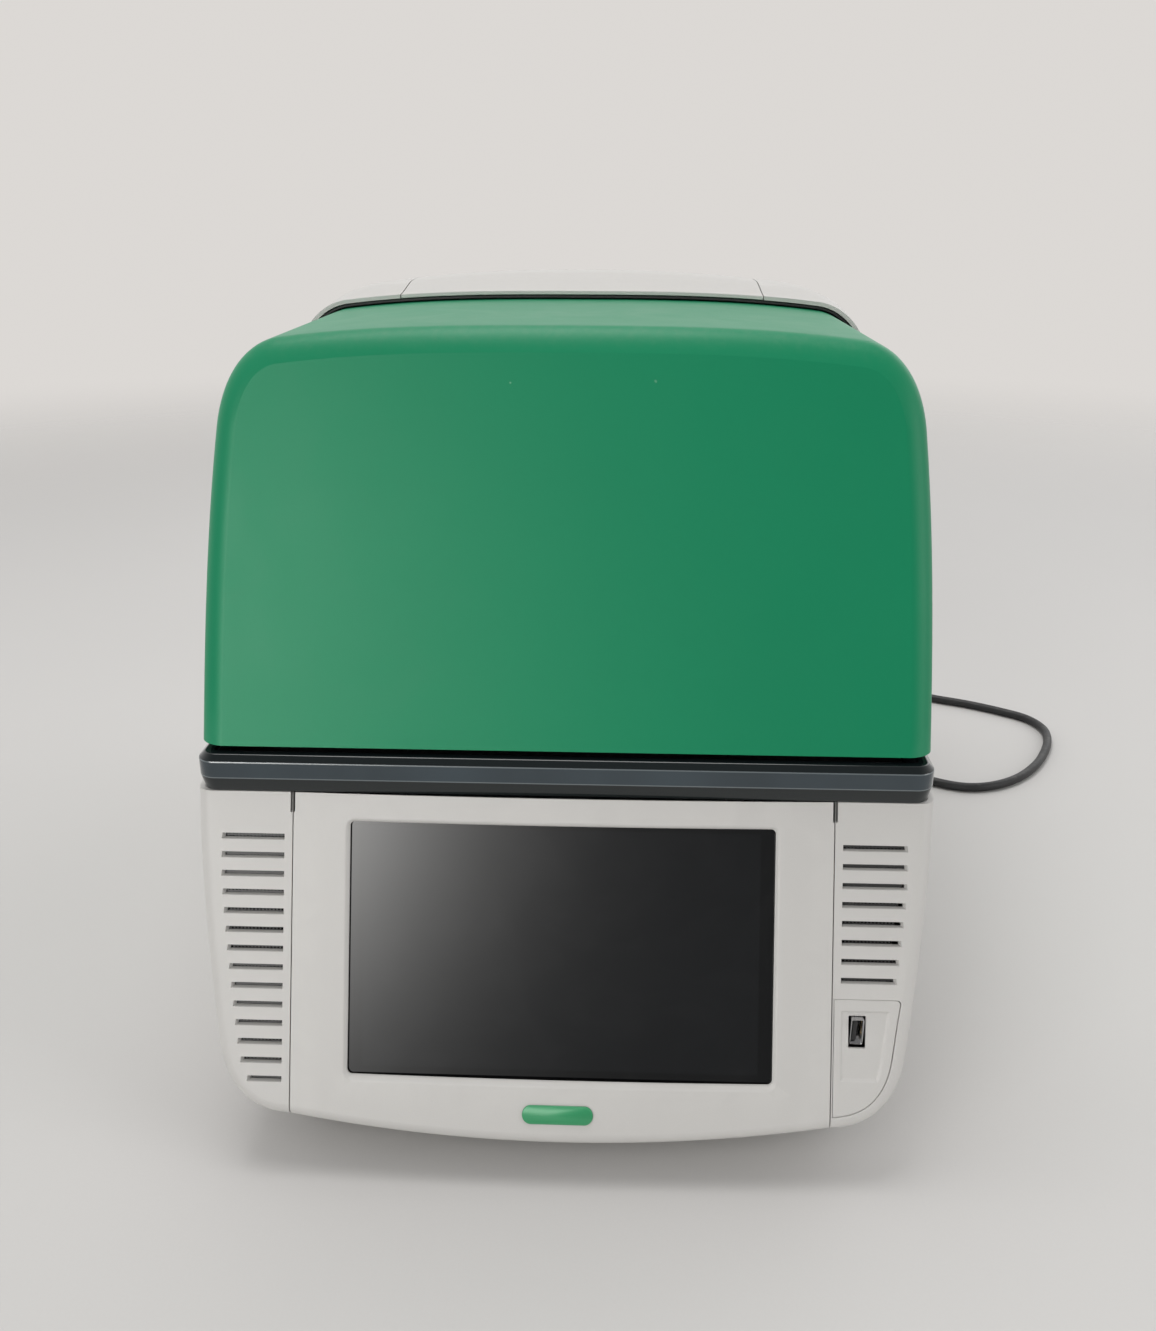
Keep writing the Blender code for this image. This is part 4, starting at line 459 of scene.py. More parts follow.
plastics = {  # colour, worn colour, drift, grain scale, roughness, handling, dust, edge wear, bump height
    "coverWhite": ((0.605, 0.595, 0.578), (0.66, 0.65, 0.63), 0.035, 1500, 0.46, 0.10, 0.10, 0.30, 0.000022),
    "hoodWhite": ((0.535, 0.524, 0.508), (0.70, 0.69, 0.67), 0.04, 1500, 0.48, 0.10, 0.16, 0.30, 0.000022),
    "lidGreen": ((0.006, 0.228, 0.103), (0.08, 0.34, 0.20), 0.10, 1800, 0.40, 0.10, 0.05, 0.30, 0.000016),
    "badgeGreen": ((0.035, 0.300, 0.125), (0.20, 0.42, 0.28), 0.08, 2200, 0.34, 0.08, 0.0, 0.4, 0.000008),
    "smokeBand": ((0.022, 0.034, 0.040), (0.10, 0.13, 0.15), 0.25, 500, 0.10, 0.08, 0.06, 0.5, 0.0),
    "darkPlastic": ((0.030, 0.032, 0.035), (0.09, 0.09, 0.10), 0.20, 1100, 0.50, 0.12, 0.10, 0.5, 0.00003),
    "blackPlastic": ((0.012, 0.012, 0.013), (0.06, 0.06, 0.06), 0.25, 1200, 0.42, 0.14, 0.12, 0.6, 0.00003),
    "sealRubber": ((0.010, 0.010, 0.011), (0.05, 0.05, 0.05), 0.3, 800, 0.62, 0.12, 0.18, 0.4, 0.00004),
    "footRubber": ((0.018, 0.018, 0.019), (0.08, 0.08, 0.08), 0.3, 700, 0.70, 0.12, 0.25, 0.5, 0.00005),
    "cordBlack": ((0.011, 0.011, 0.012), (0.05, 0.05, 0.05), 0.25, 420, 0.48, 0.18, 0.10, 0.3, 0.00003),
    "ceramicWhite": ((0.72, 0.71, 0.68), (0.8, 0.8, 0.8), 0.05, 1200, 0.55, 0.1, 0.0, 0.2, 0.00002),
}


def plastic(name):
    *values, bumpHeight = plastics[name]
    labels = ("Base", "Worn", "Drift", "Grain Scale", "Roughness", "Handling", "Dust", "Edge Wear")
    return groupMaterial(name, mouldedSurface, dict(zip(labels, values)), bumpHeight)


metals = {  # colour, tarnished colour, lines along each axis, roughness, variation
    "brightSteel": ((0.56, 0.56, 0.57), (0.34, 0.34, 0.35), (900.0, 60.0, 900.0), 0.24, 0.18),
    "panelMetal": ((0.50, 0.51, 0.52), (0.36, 0.37, 0.38), (80.0, 900.0, 900.0), 0.40, 0.20),
    "meshMetal": ((0.05, 0.05, 0.05), (0.02, 0.02, 0.02), (300.0, 300.0, 300.0), 0.50, 0.30),
    "aluminium": ((0.66, 0.67, 0.68), (0.48, 0.49, 0.50), (60.0, 1600.0, 1600.0), 0.32, 0.15),
    "brass": ((0.62, 0.43, 0.16), (0.36, 0.23, 0.09), (500.0, 60.0, 500.0), 0.30, 0.30),
    "gold": ((0.75, 0.52, 0.20), (0.55, 0.36, 0.14), (900.0, 90.0, 900.0), 0.22, 0.15),
}


def metal(name):
    labels = ("Base", "Tarnish", "Line Spacing", "Roughness", "Variation")
    made = groupMaterial(name, brushedMetal, dict(zip(labels, metals[name])), 0.00001)
    made[2].inputs["Metallic"].default_value = 1.0
    return made


coverWhite = plastic("coverWhite")[0]
hoodWhite = plastic("hoodWhite")[0]
badgeGreen = plastic("badgeGreen")[0]
darkPlastic = plastic("darkPlastic")[0]
blackPlastic = plastic("blackPlastic")[0]
sealRubber = plastic("sealRubber")[0]
footRubber = plastic("footRubber")[0]
cordBlack = plastic("cordBlack")[0]
ceramicWhite = plastic("ceramicWhite")[0]
brightSteel = metal("brightSteel")[0]
panelMetal = metal("panelMetal")[0]
aluminium = metal("aluminium")[0]
brass = metal("brass")[0]
gold = metal("gold")[0]

scuffs = (((-0.0255, 0.337), 0.0006), ((0.0385, 0.338), 0.0008))  # two tiny rubs near the lid's top edge


def makeLidGreen():
    material, tree, shader, surface = plastic("lidGreen")
    where = objectPlace(tree)
    parts = axesOf(tree, where)
    flat = addNode(tree, "ShaderNodeCombineXYZ", [(0, parts[0]), (2, parts[2])]).outputs[0]
    ragged = noise(tree, where, 900.0)
    marks = 0.0
    for (x, z), radius in scuffs:
        away = vectorMaths(tree, "DISTANCE", flat, (x, 0, z), "Value")
        marks = plus(tree, marks, spread(tree, away, radius, 0.0), True)
    marks = times(tree, marks, spread(tree, ragged, 0.40, 0.55), True)
    tree.links.new(
        blendColour(tree, times(tree, marks, 0.7), surface.outputs["Color"], (0.35, 0.55, 0.42)),
        shader.inputs["Base Color"],
    )
    shader.inputs["Specular IOR Level"].default_value = 0.24
    return material


# smoke band colours with painted light and shade: the flat middle's lighter colour is painted light, the
# darker colour kept on the chamfers ("thick") is painted shade, "from" and "to" bound the flat middle, and
# "edge" is a painted highlight "rim" wide along each chamfer edge
smokeTintAndPaintedShade = {
    "paintedLitMiddle": (0.040, 0.060, 0.074), "thick": (0.0065, 0.0105, 0.0115), "from": 0.1713, "to": 0.1788,
    "rim": 0.00035, "edge": (0.15, 0.175, 0.185),
}


def makeSmokeBand():
    # smoke-tinted plastic with painted light and shade: its flat middle painted lighter and its chamfers
    # darker, as the light falls on them
    material, tree, shader, _ = plastic("smokeBand")
    where = objectPlace(tree)
    height = axesOf(tree, where)[2]
    # mask of the flat middle, which is painted lighter than the chamfers: painted light and shade
    above = spread(tree, height, smokeTintAndPaintedShade["from"] - 0.0002, smokeTintAndPaintedShade["from"] + 0.0002)
    below = spread(tree, height, smokeTintAndPaintedShade["to"] + 0.0002, smokeTintAndPaintedShade["to"] - 0.0002)
    middle = times(tree, above, below)
    streak = vectorMaths(tree, "MULTIPLY", where, (14.0, 14.0, 0.5))
    cloud = noise(tree, streak, 1.0, 3.0)
    paintedLitMiddle = blendColour(tree, spread(tree, cloud, 0.35, 0.7), smokeTintAndPaintedShade["paintedLitMiddle"], [c * 0.55 for c in smokeTintAndPaintedShade["paintedLitMiddle"]])
    # the chamfers keep the darker colour as painted shade, the middle the lighter one as painted light
    body = blendColour(tree, middle, smokeTintAndPaintedShade["thick"], paintedLitMiddle)
    paintedEdgeHighlights = 0.0
    for level in (smokeTintAndPaintedShade["from"], smokeTintAndPaintedShade["to"]):  # painted highlight: a bright line along each chamfer edge, where the edge catches the light
        away = maths(tree, "ABSOLUTE", maths(tree, "SUBTRACT", height, level))
        paintedEdgeHighlights = plus(tree, paintedEdgeHighlights, spread(tree, away, smokeTintAndPaintedShade["rim"], smokeTintAndPaintedShade["rim"] * 0.4))
    tree.links.new(blendColour(tree, paintedEdgeHighlights, body, smokeTintAndPaintedShade["edge"]), shader.inputs["Base Color"])
    shader.inputs["Specular IOR Level"].default_value = 0.32
    shader.inputs["Coat Weight"].default_value = 0.5
    shader.inputs["Coat Roughness"].default_value = 0.05
    return material


display = {
    "active": (0.0885, 0.0995, 0.0482, 0.1486), "glassBlack": (0.0022, 0.0024, 0.0028),
    "panelBlack": (0.0060, 0.0066, 0.0075),
}


def makeDisplayGlass():
    # black printed border round a very slightly lighter unlit panel, with wiped smears
    material, tree, shader = startMaterial("displayGlass")
    where = objectPlace(tree)
    parts = axesOf(tree, where)
    halfWide, _, low, high = display["active"]
    acrossIn = spread(tree, maths(tree, "ABSOLUTE", parts[0]), halfWide + 0.0003, halfWide)
    upIn = times(tree, spread(tree, parts[2], low - 0.0003, low), spread(tree, parts[2], high + 0.0003, high))
    inside = times(tree, acrossIn, upIn, True)
    smear = noise(tree, where, 28.0, 5.0, 1.2)
    colour = blendColour(tree, inside, display["glassBlack"], display["panelBlack"])
    tree.links.new(
        blendColour(tree, times(tree, spread(tree, smear, 0.45, 0.8), 0.06), colour, (0.05, 0.05, 0.052)),
        shader.inputs["Base Color"],
    )
    tree.links.new(spread(tree, smear, 0.3, 0.8, 0.05, 0.13), shader.inputs["Roughness"])
    shader.inputs["Coat Weight"].default_value = 0.5
    shader.inputs["Coat Roughness"].default_value = 0.03
    return material


def makeVentMesh():
    # punched steel mesh in dark paint, its holes painted near black as painted shade of the dark behind them
    material, tree, shader, surface = metal("meshMetal")
    where = objectPlace(tree)
    holes = addNode(
        tree, "ShaderNodeTexVoronoi", [("Vector", where), ("Scale", 620.0), ("Randomness", 0.0)]
    ).outputs["Distance"]
    # painted shade: the holes are coloured near black for the dark seen through them, and also made rough and
    # sunk by bump
    meshGap = spread(tree, holes, 0.36, 0.30)
    tree.links.new(
        blendColour(tree, meshGap, surface.outputs["Color"], (0.0008, 0.0008, 0.0008)),
        shader.inputs["Base Color"],
    )
    tree.links.new(spread(tree, meshGap, 0.0, 1.0, 0.45, 1.0), shader.inputs["Roughness"])
    shader.inputs["Metallic"].default_value = 0.4
    addBump(tree, shader, meshGap, -0.0003)
    return material


def makeCircuitBoard():
    material, tree, shader = startMaterial("circuitBoard")
    where = objectPlace(tree)
    tracks = addNode(
        tree, "ShaderNodeTexBrick", [("Vector", where), ("Scale", 160.0), ("Mortar Size", 0.06)]
    ).outputs["Fac"]
    pads = addNode(
        tree, "ShaderNodeTexVoronoi", [("Vector", where), ("Scale", 300.0), ("Randomness", 0.4)]
    ).outputs["Distance"]
    colour = blendColour(tree, tracks, (0.012, 0.10, 0.035), (0.030, 0.17, 0.060))
    padMask = spread(tree, pads, 0.22, 0.18)
    tree.links.new(blendColour(tree, padMask, colour, (0.60, 0.55, 0.35)), shader.inputs["Base Color"])
    tree.links.new(spread(tree, padMask, 0, 1, 0.35, 0.25), shader.inputs["Roughness"])
    tree.links.new(padMask, shader.inputs["Metallic"])
    return material


lidGreen = makeLidGreen()
smokeBand = makeSmokeBand()
displayGlass = makeDisplayGlass()
ventMesh = makeVentMesh()
circuitBoard = makeCircuitBoard()
print("materials made")

# mains lead, in metres, resting on the bench behind and beside the instrument

lead = {
    "radius": 0.00325,
    "length": 1.85,
    "exit": (0.118, 0.3325, 0.0440),
    "coilMiddle": (-0.035, 0.352),
    "coilRadius": 0.0360,
    "bundle": 0.00585,
    "turns": 4,
    "bundleHeight": 0.0091,
}
leadRoute = [
    (0.118, 0.3325, 0.0440), (0.118, 0.3420, 0.0438), (0.119, 0.3510, 0.0420), (0.122, 0.361, 0.0380),
    (0.130, 0.374, 0.0285), (0.143, 0.383, 0.0170), (0.161, 0.387, 0.0085), (0.183, 0.384, 0.0045),
    (0.208, 0.373, 0.0035), (0.240, 0.350, 0.0035), (0.270, 0.328, 0.0035), (0.297, 0.310, 0.0035),
    (0.326, 0.2965, 0.0035), (0.350, 0.2815, 0.0035), (0.367, 0.267, 0.0035), (0.3745, 0.247, 0.0035),
    (0.3715, 0.2245, 0.0035), (0.361, 0.199, 0.0035), (0.346, 0.174, 0.0035), (0.327, 0.1525, 0.0035),
    (0.305, 0.1385, 0.0035), (0.283, 0.1350, 0.0035), (0.261, 0.1440, 0.0035), (0.240, 0.1620, 0.0035),
    (0.222, 0.1890, 0.0035), (0.208, 0.2220, 0.0035), (0.192, 0.2560, 0.0035), (0.168, 0.2840, 0.0035),
    (0.136, 0.3010, 0.0035), (0.098, 0.3085, 0.0035), (0.058, 0.3110, 0.0035), (0.018, 0.3122, 0.0035),
    (-0.0122, 0.3125, 0.0038),
]
tailRoute = [
    (-0.0500, 0.3121, 0.0116), (-0.0600, 0.3124, 0.0072), (-0.0700, 0.3128, 0.0044),
    (-0.0800, 0.3137, 0.0044),
    (-0.0880, 0.3150, 0.0053), (-0.1000, 0.3185, 0.0062), (-0.1120, 0.3240, 0.0064),
]
plug = {
    "wide": 0.036, "tall": 0.020, "body": 0.024, "relief": 0.026, "shoulder": 0.010, "pinRadius": 0.0024,
    "pinLong": 0.019, "pinSpacing": 0.019,
}


def coilPoints():  # four turns that roll slowly round their own bundle, so none lies in another
    made, steps = [], 16
    for k in range(lead["turns"] * steps + 1):
        turned = 2 * pi * k / steps
        roll = -pi / 4 - radians(270) * k / (lead["turns"] * steps)
        radius = lead["coilRadius"] + lead["bundle"] * cos(roll)
        x = lead["coilMiddle"][0] - radius * sin(turned)
        y = lead["coilMiddle"][1] - radius * cos(turned)
        made.append((x, y, lead["bundleHeight"] + lead["bundle"] * sin(roll)))
    return made


def sectionAt(place, across, up, points):
    return [place + across * x + up * z for x, z in points]


def makeLead():
    line = smoothLine(leadRoute + coilPoints() + tailRoute, 0.0035)
    cord = addPiece("mainsLead", sweep(line, lead["radius"]), cordBlack, creaseAngle=60)
    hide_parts("cord_lead", "cord_coil", "cord_tail")

    low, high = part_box("cord_connector")
    x, z = lead["exit"][0], lead["exit"][2]
    grip = [
        (0.2616, 0.0113, 0.0073), (0.2624, 0.0120, 0.0080), (0.2690, 0.0120, 0.0080),
        (0.2705, 0.0112, 0.0074),
    ]
    for k in range(5):
        y = 0.2716 + 0.0031 * k
        grip += [
            (y, 0.0112, 0.0072), (y + 0.0008, 0.0116, 0.0077), (y + 0.0018, 0.0116, 0.0077),
            (y + 0.0026, 0.0112, 0.0072),
        ]
    grip += [(0.2880, 0.0118, 0.0078), (0.2918, 0.0112, 0.0074), (0.2936, 0.0090, 0.0064)]
    right, up = Vector((1, 0, 0)), Vector((0, 0, 1))
    rings = [
        sectionAt(Vector((x, y, z)), right, up, roundedRect(wide, tall, 0.0032, 5))
        for y, wide, tall in grip
    ]
    bm = loft(*rings)
    nose = [(low.y + 0.0004, 0.0104, 0.0068), (low.y + 0.0012, 0.0113, 0.0077), (0.2640, 0.0113, 0.0077)]
    loft(
        *[
            sectionAt(Vector((x, y, z)), right, up, roundedRect(wide, tall, 0.0016, 4))
            for y, wide, tall in nose
        ],
        bm=bm,
    )
    reliefPoints, reliefRadii = [Vector((x, 0.2920, z))], [0.0064]
    for k in range(9):  # ribs of the tapered relief
        y, radius = 0.2946 + 0.0040 * k, 0.0062 - 0.00026 * k
        for step, share in ((0, 1.0), (0.0022, 1.0), (0.0025, 0.86), (0.0037, 0.86)):
            reliefPoints.append(Vector((x, y + step, z)))
            reliefRadii.append(radius * share)
    reliefPoints.append(Vector((x, high.y, z)))
    reliefRadii.append(0.00385)
    sweep(reliefPoints, reliefRadii, 20, bm)
    connector = addPiece("leadConnector", bm, sealRubber, creaseAngle=40)
    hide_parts("cord_connector")

    end, before = Vector(tailRoute[-1]), Vector(tailRoute[-2])
    heading = Vector((end.x - before.x, end.y - before.y, 0)).normalized()
    across = Vector((-heading.y, heading.x, 0))
    start = end + heading * 0.0006
    middle = plug["tall"] / 2 + 0.0003
    shoulder = plug["relief"] + plug["shoulder"]
    nose = shoulder + plug["body"]
    steps = [(0, 0.0041, 0.0041, end.z)]
    for k in range(6):
        share = k / 6
        wide, tall = 0.0046 + 0.0028 * share, 0.0046 + 0.0013 * share
        height = end.z + (middle - end.z) * share
        steps += [
            (plug["relief"] * share + 0.0006, wide, tall, height),
            (plug["relief"] * share + 0.0030, wide, tall, height),
        ]
        if k < 5:
            steps += [
                (plug["relief"] * share + 0.0033, wide * 0.88, tall * 0.88, height),
                (plug["relief"] * share + 0.0042, wide * 0.88, tall * 0.88, height),
            ]
    steps += [
        (plug["relief"] + 0.001, 0.0080, 0.0064, middle),
        (shoulder - 0.003, plug["wide"] / 2 - 0.0026, plug["tall"] / 2 - 0.0012, middle),
        (shoulder, plug["wide"] / 2, plug["tall"] / 2, middle),
        (shoulder + 0.006, plug["wide"] / 2, plug["tall"] / 2, middle),
        (shoulder + 0.011, plug["wide"] / 2 - 0.0016, plug["tall"] / 2 - 0.0008, middle),
        (shoulder + 0.017, plug["wide"] / 2, plug["tall"] / 2, middle),
        (nose - 0.0015, plug["wide"] / 2, plug["tall"] / 2, middle),
        (nose, plug["wide"] / 2 - 0.0015, plug["tall"] / 2 - 0.0015, middle),
    ]
    rings = []
    for distance, wide, tall, height in steps:
        place = start + heading * distance
        place.z = height
        rings.append(sectionAt(place, across, up, roundedRect(wide, tall, min(wide, tall) * 0.92, 7)))
    body = addPiece("plugBody", loft(*rings), sealRubber, creaseAngle=40)
    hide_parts("mains_plug")
    pins, sleeves = bmesh.new(), bmesh.new()
    for side in (-1, 1):
        root = start + heading * (nose - 0.004) + across * side * plug["pinSpacing"] / 2
        root.z = middle
        radius, reach = plug["pinRadius"], plug["pinLong"] + 0.004
        lathe(
            [
                (radius * 0.9, 0), (radius * 0.9, reach - 0.002), (radius * 0.75, reach - 0.0008),
                (radius * 0.35, reach),
            ],
            root, heading, 24, pins,
        )
        lathe([(radius, 0), (radius, 0.0125), (radius * 0.92, 0.0129)], root, heading, 24, sleeves)
    pinPiece = addPiece("plugPins", pins, brightSteel, creaseAngle=40)
    sleevePiece = addPiece("plugPinSleeves", sleeves, blackPlastic, creaseAngle=40)

    tie = bmesh.new()  # strap round the coil
    angle = radians(70)
    outward = Vector((cos(angle), sin(angle), 0))
    sideways = Vector((-outward.y, outward.x, 0))
    place = Vector((*lead["coilMiddle"], 0)) + outward * (lead["coilRadius"] + 0.0002)
    place.z = lead["bundleHeight"] + 0.0002
    rings = []
    for offset, grow in ((-0.006, 0.0), (-0.0058, 0.0004), (0.0058, 0.0004), (0.006, 0.0)):
        rings.append(
            sectionAt(
                place + sideways * offset, outward, up,
                roundedRect(0.0091 + grow, 0.0088 + grow, 0.0046, 6),
            )
        )
    loft(*rings, bm=tie)
    tiePiece = addPiece("leadTie", tie, sealRubber, creaseAngle=40)
    total = sum((b - a).length for a, b in zip(line, line[1:]))
    print("mains lead laid, %.3f m" % total)


makeLead()

# shared outlines of the covers

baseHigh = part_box("base_shell")[1]
lidLow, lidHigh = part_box("lid_cover")
hoodLow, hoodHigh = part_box("hood_shell")

cover = {
    "face": -0.263,
    "rear": baseHigh.y,
    "lean": tan(radians(20.5)),
    "wall": 0.0025,
    "deck": baseHigh.z,
    "half": baseHigh.x,
    "waistHalf": 0.1545,
    "waist": 0.057,
    "round": 0.0065,
    "lip": 0.018,
    "smile": 0.008,
    "floor": 0.014,
    "undercut": 0.034,
    "bezelHalf": 0.121,
    "bow": 0.002,
}


def faceY(z):
    return cover["face"] + (z - cover["lip"]) * cover["lean"]


def baseHalf(low, smile, top=None):
    edge, waist, half, deck = cover["bezelHalf"], cover["waist"], cover["half"], cover["deck"]
    made = [(edge * k / 8, low + smile * (k / 8) ** 2) for k in range(9)]
    rise = waist - low - smile
    made += bezier(
        (edge, low + smile), (edge + 0.022, low + smile + 0.0005),
        (cover["waistHalf"] - 0.002, waist - 0.5 * rise), (cover["waistHalf"], waist), 16,
    )
    made += bezier(
        (cover["waistHalf"], waist), (cover["waistHalf"] + 0.0040, waist + 0.028),
        (half - 0.0010, deck - 0.040), (half, deck), 12,
    )
    if top:
        made.append((half, top))
    return made


def baseRing(half, inset, place):
    return [(x, place(z), z) for x, z in bothSides(movedIn(half, inset, (0, 1), (-1, 0)))]


def baseRings(inner):
    top = cover["deck"] + 0.02 if inner else None
    frontHalf, rearHalf = baseHalf(cover["lip"], cover["smile"], top), baseHalf(cover["floor"], 0.0, top)
    start = cover["wall"] if inner else 0.0
    reach = cover["round"] - start
    rings = []
    for k in range(9):
        angle = radians(90) * k / 8
        inset, depth = start + reach * (1 - sin(angle)), start + reach * (1 - cos(angle))
        rings.append(baseRing(frontHalf, inset, lambda z, d=depth: faceY(z) + d))
    for k in range(1, 5):  # the lip runs back into the flat underside
        share = k / 4
        ease = smooth(share)
        between = [
            (a[0] + (b[0] - a[0]) * ease, a[1] + (b[1] - a[1]) * ease)
            for a, b in zip(frontHalf, rearHalf)
        ]
        depth = cover["round"] + (cover["undercut"] - cover["round"]) * share
        rings.append(baseRing(between, start, lambda z, d=depth: faceY(z) + d))
    rings.append(baseRing(rearHalf, start, lambda z: cover["rear"] + (0.02 if inner else 0)))
    return rings


def sideAt(z):
    half = baseHalf(cover["lip"], cover["smile"])
    for (xLow, zLow), (xHigh, zHigh) in zip(half, half[1:]):
        if zLow <= z <= zHigh and zHigh > zLow:
            return xLow + (xHigh - xLow) * (z - zLow) / (zHigh - zLow)
    return cover["half"]


def leaning(outline, near, far, bm=None):
    return loft(
        [(x, faceY(z) + near, z) for x, z in outline], [(x, faceY(z) + far, z) for x, z in outline], bm=bm
    )


def prism(outline, near, far):  # outline in x and z, carried along y
    return loft([(x, near, z) for x, z in outline], [(x, far, z) for x, z in outline])


def rectangle(xLow, xHigh, zLow, zHigh):
    return [(xLow, zLow), (xHigh, zLow), (xHigh, zHigh), (xLow, zHigh)]


# base shell with its vents

vents = {
    "pitch": 0.00786, "tall": 0.0026, "outer": 0.1545, "fade": 0.0055, "top": 0.1451, "left": 14,
    "right": 8, "beside": 0.0035, "fromEdge": 0.0085,
}


def ventTool(side, count):
    bm = bmesh.new()
    for k in range(count):
        z = vents["top"] - k * vents["pitch"]
        outer = min(vents["outer"], sideAt(z) - vents["fromEdge"])
        low, high, inner = z - vents["tall"] / 2, z + vents["tall"] / 2, side * (
            cover["bezelHalf"] + vents["beside"]
        )
        rings = []
        for depth, end in ((-0.012, outer + 0.004), (cover["wall"] + 0.006, outer - vents["fade"])):
            y = faceY(z) + depth
            rings.append([(inner, y, low), (side * end, y, low), (side * end, y, high), (inner, y, high)])
        loft(*rings, bm=bm)
    return bm


portCover = {
    "top": 0.0825, "inset": 0.0068, "seam": 0.0005, "fit": 0.0003, "corner": 0.0022,
    "dish": (0.0480, 0.0775), "dishSide": 0.1248, "dishInset": 0.0042, "holeHalf": (0.00375, 0.00685),
}


def portOutline(shrink):
    half = movedIn(baseHalf(cover["lip"], cover["smile"]), portCover["inset"] + shrink, (0, 1), (-1, 0))
    inner, top = cover["bezelHalf"] + portCover["seam"] + shrink, portCover["top"] - shrink
    curve = [(x, z) for x, z in half if x > inner + 0.002 and z < top - 0.003]
    foot = min(z for x, z in curve) - 0.0002
    outer = sideAt(top) - portCover["inset"] - shrink
    corner = [(outer, top - 0.0014), (outer - 0.0010, top - 0.0002), (outer - portCover["corner"], top)]
    return [(inner, foot)] + curve + corner + [(inner, top)]


def makePort():  # folded steel shell, black tongue and four contacts
    (xLow, near, zLow), (xHigh, far, zHigh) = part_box("port_socket")
    middleX, middleZ = (xLow + xHigh) / 2, (zLow + zHigh) / 2
    halfWide, halfTall = (xHigh - xLow) / 2, (zHigh - zLow) / 2
    outer = [(middleX + x, middleZ + z) for x, z in roundedRect(halfWide, halfTall, 0.0006, 4)]
    bore = [
        (middleX + x, middleZ + z)
        for x, z in roundedRect(halfWide - 0.0004, halfTall - 0.0004, 0.0003, 4)
    ]
    steel = addPiece("portShell", prism(outer, near, far), brightSteel)
    carve(steel, prism(bore, near - 0.01, far - 0.002))
    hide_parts("port_socket")
    tongueX = middleX - 0.0009
    back = far - 0.002
    tongue = boxes(
        ((tongueX - 0.0009, near + 0.0012, zLow + 0.0012), (tongueX + 0.0009, back, zHigh - 0.0012)),
        ((xLow + 0.0005, near + 0.009, zLow + 0.0005), (xHigh - 0.0005, back, zHigh - 0.0005)),
    )
    piece = addPiece("portTongue", tongue, blackPlastic)
    roundEdges(piece, 0.00015, 1)
    contacts = bmesh.new()
    for k in range(4):
        z = middleZ + (k - 1.5) * 0.0024
        boxes(
            ((tongueX + 0.0009, near + 0.0022, z - 0.0005), (tongueX + 0.0010, near + 0.0085, z + 0.0005)),
            bm=contacts,
        )
    addPiece("portContacts", contacts, gold)


footProfile = (  # (radius, height), with the last three measured down from the foot's top
    (0.0040, 0.0008), (0.0045, 0.0), (0.0104, 0.0), (0.0112, 0.0004), (0.0115, 0.0014), (0.0119, 0.0050),
    (0.0114, 0.0056), (0.0115, 0.0066), (0.0122, 0.0072), (0.0129, -0.0012), (0.0128, -0.0003), (0.0122, 0),
)


def makeFeet():
    for end in ("front", "rear"):
        for side in ("left", "right"):
            node = "foot_%s_%s" % (end, side)
            middle, top = middleOf(node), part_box(node)[1].z
            risen = len(footProfile) - 3
            profile = [(radius, z if k < risen else top + z) for k, (radius, z) in enumerate(footProfile)]
            shape = lathe(profile, (middle.x, middle.y, 0))
            foot = addPiece("foot" + end.title() + side.title(), shape, footRubber)
            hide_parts(node)

def makeBase():
    shell = addPiece("baseShell", loft(*baseRings(False)), coverWhite)
    carve(shell, loft(*baseRings(True)))
    edge = cover["bezelHalf"]
    carve(shell, leaning(rectangle(-edge, edge, -0.02, 0.20), -0.02, 0.012))
    notches = bmesh.new()  # wider gap at the top of each seam
    for side in (-1, 1):
        x = side * (edge + 0.0001)
        leaning(
            rectangle(min(x, x + side * 0.0009), max(x, x + side * 0.0009), cover["deck"] - 0.0085, 0.18),
            -0.01, 0.008, notches,
        )
    carve(shell, notches)
    carve(shell, ventTool(-1, vents["left"]))
    carve(shell, ventTool(1, vents["right"]))
    carve(shell, leaning(portOutline(0), -0.01, cover["round"]))
    roundEdges(shell, 0.00035, 2, 32)
    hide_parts("base_shell")

    outline = portOutline(portCover["fit"])
    door = addPiece("portCover", leaning(outline, 0.0002, 0.0025), coverWhite)
    rings = []
    for depth, grow in ((-0.0010, 0.0012), (0.0002, 0.0), (0.0010, -0.0009)):  # shallow dish in the cover
        low, high = portCover["dish"][0] - grow, portCover["dish"][1] + grow
        levels = [low + (high - low) * k / 12 for k in range(13)]
        edge = [(sideAt(z) - portCover["inset"] - portCover["dishInset"] + grow, z) for z in levels]
        inner = portCover["dishSide"] - grow
        rings.append([(x, faceY(z) + depth, z) for x, z in [(inner, low)] + edge + [(inner, high)]])
    carve(door, loft(*rings))
    middle = middleOf("port_socket")
    hole = [(middle.x + x, middle.z + z) for x, z in roundedRect(*portCover["holeHalf"], 0.0005, 4)]
    carve(door, leaning(hole, -0.01, 0.01))
    roundEdges(door, 0.00030, 2, 25)
    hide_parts("port_cover")
    makePort()
    makeFeet()
    print("base made")


makeBase()

# bezel, badge and display

bezel = {"wall": 0.0024, "window": (0.095, 0.0452, 0.1520), "corner": 0.0022, "roll": 0.0020, "seam": 0.0005}
badge = {"half": 0.0158, "tall": 0.0078, "height": 0.0326, "thickness": 0.0006}


def bow(x):
    return -cover["bow"] * (1 - (x / cover["bezelHalf"]) ** 2)


def bezelColumn(x):
    low = cover["lip"] + cover["smile"] * (x / cover["bezelHalf"]) ** 2
    points = [(x, faceY(low) + 0.012 - 0.0003, low)]
    for k in range(8, -1, -1):
        angle = radians(90) * k / 8
        z = low + cover["round"] * (1 - sin(angle))
        points.append((x, faceY(z) + bow(x) + cover["round"] * (1 - cos(angle)), z))
    start = points[-1][2]
    for k in range(1, 13):
        z = start + (cover["deck"] - start) * k / 12
        points.append((x, faceY(z) + bow(x), z))
    return points


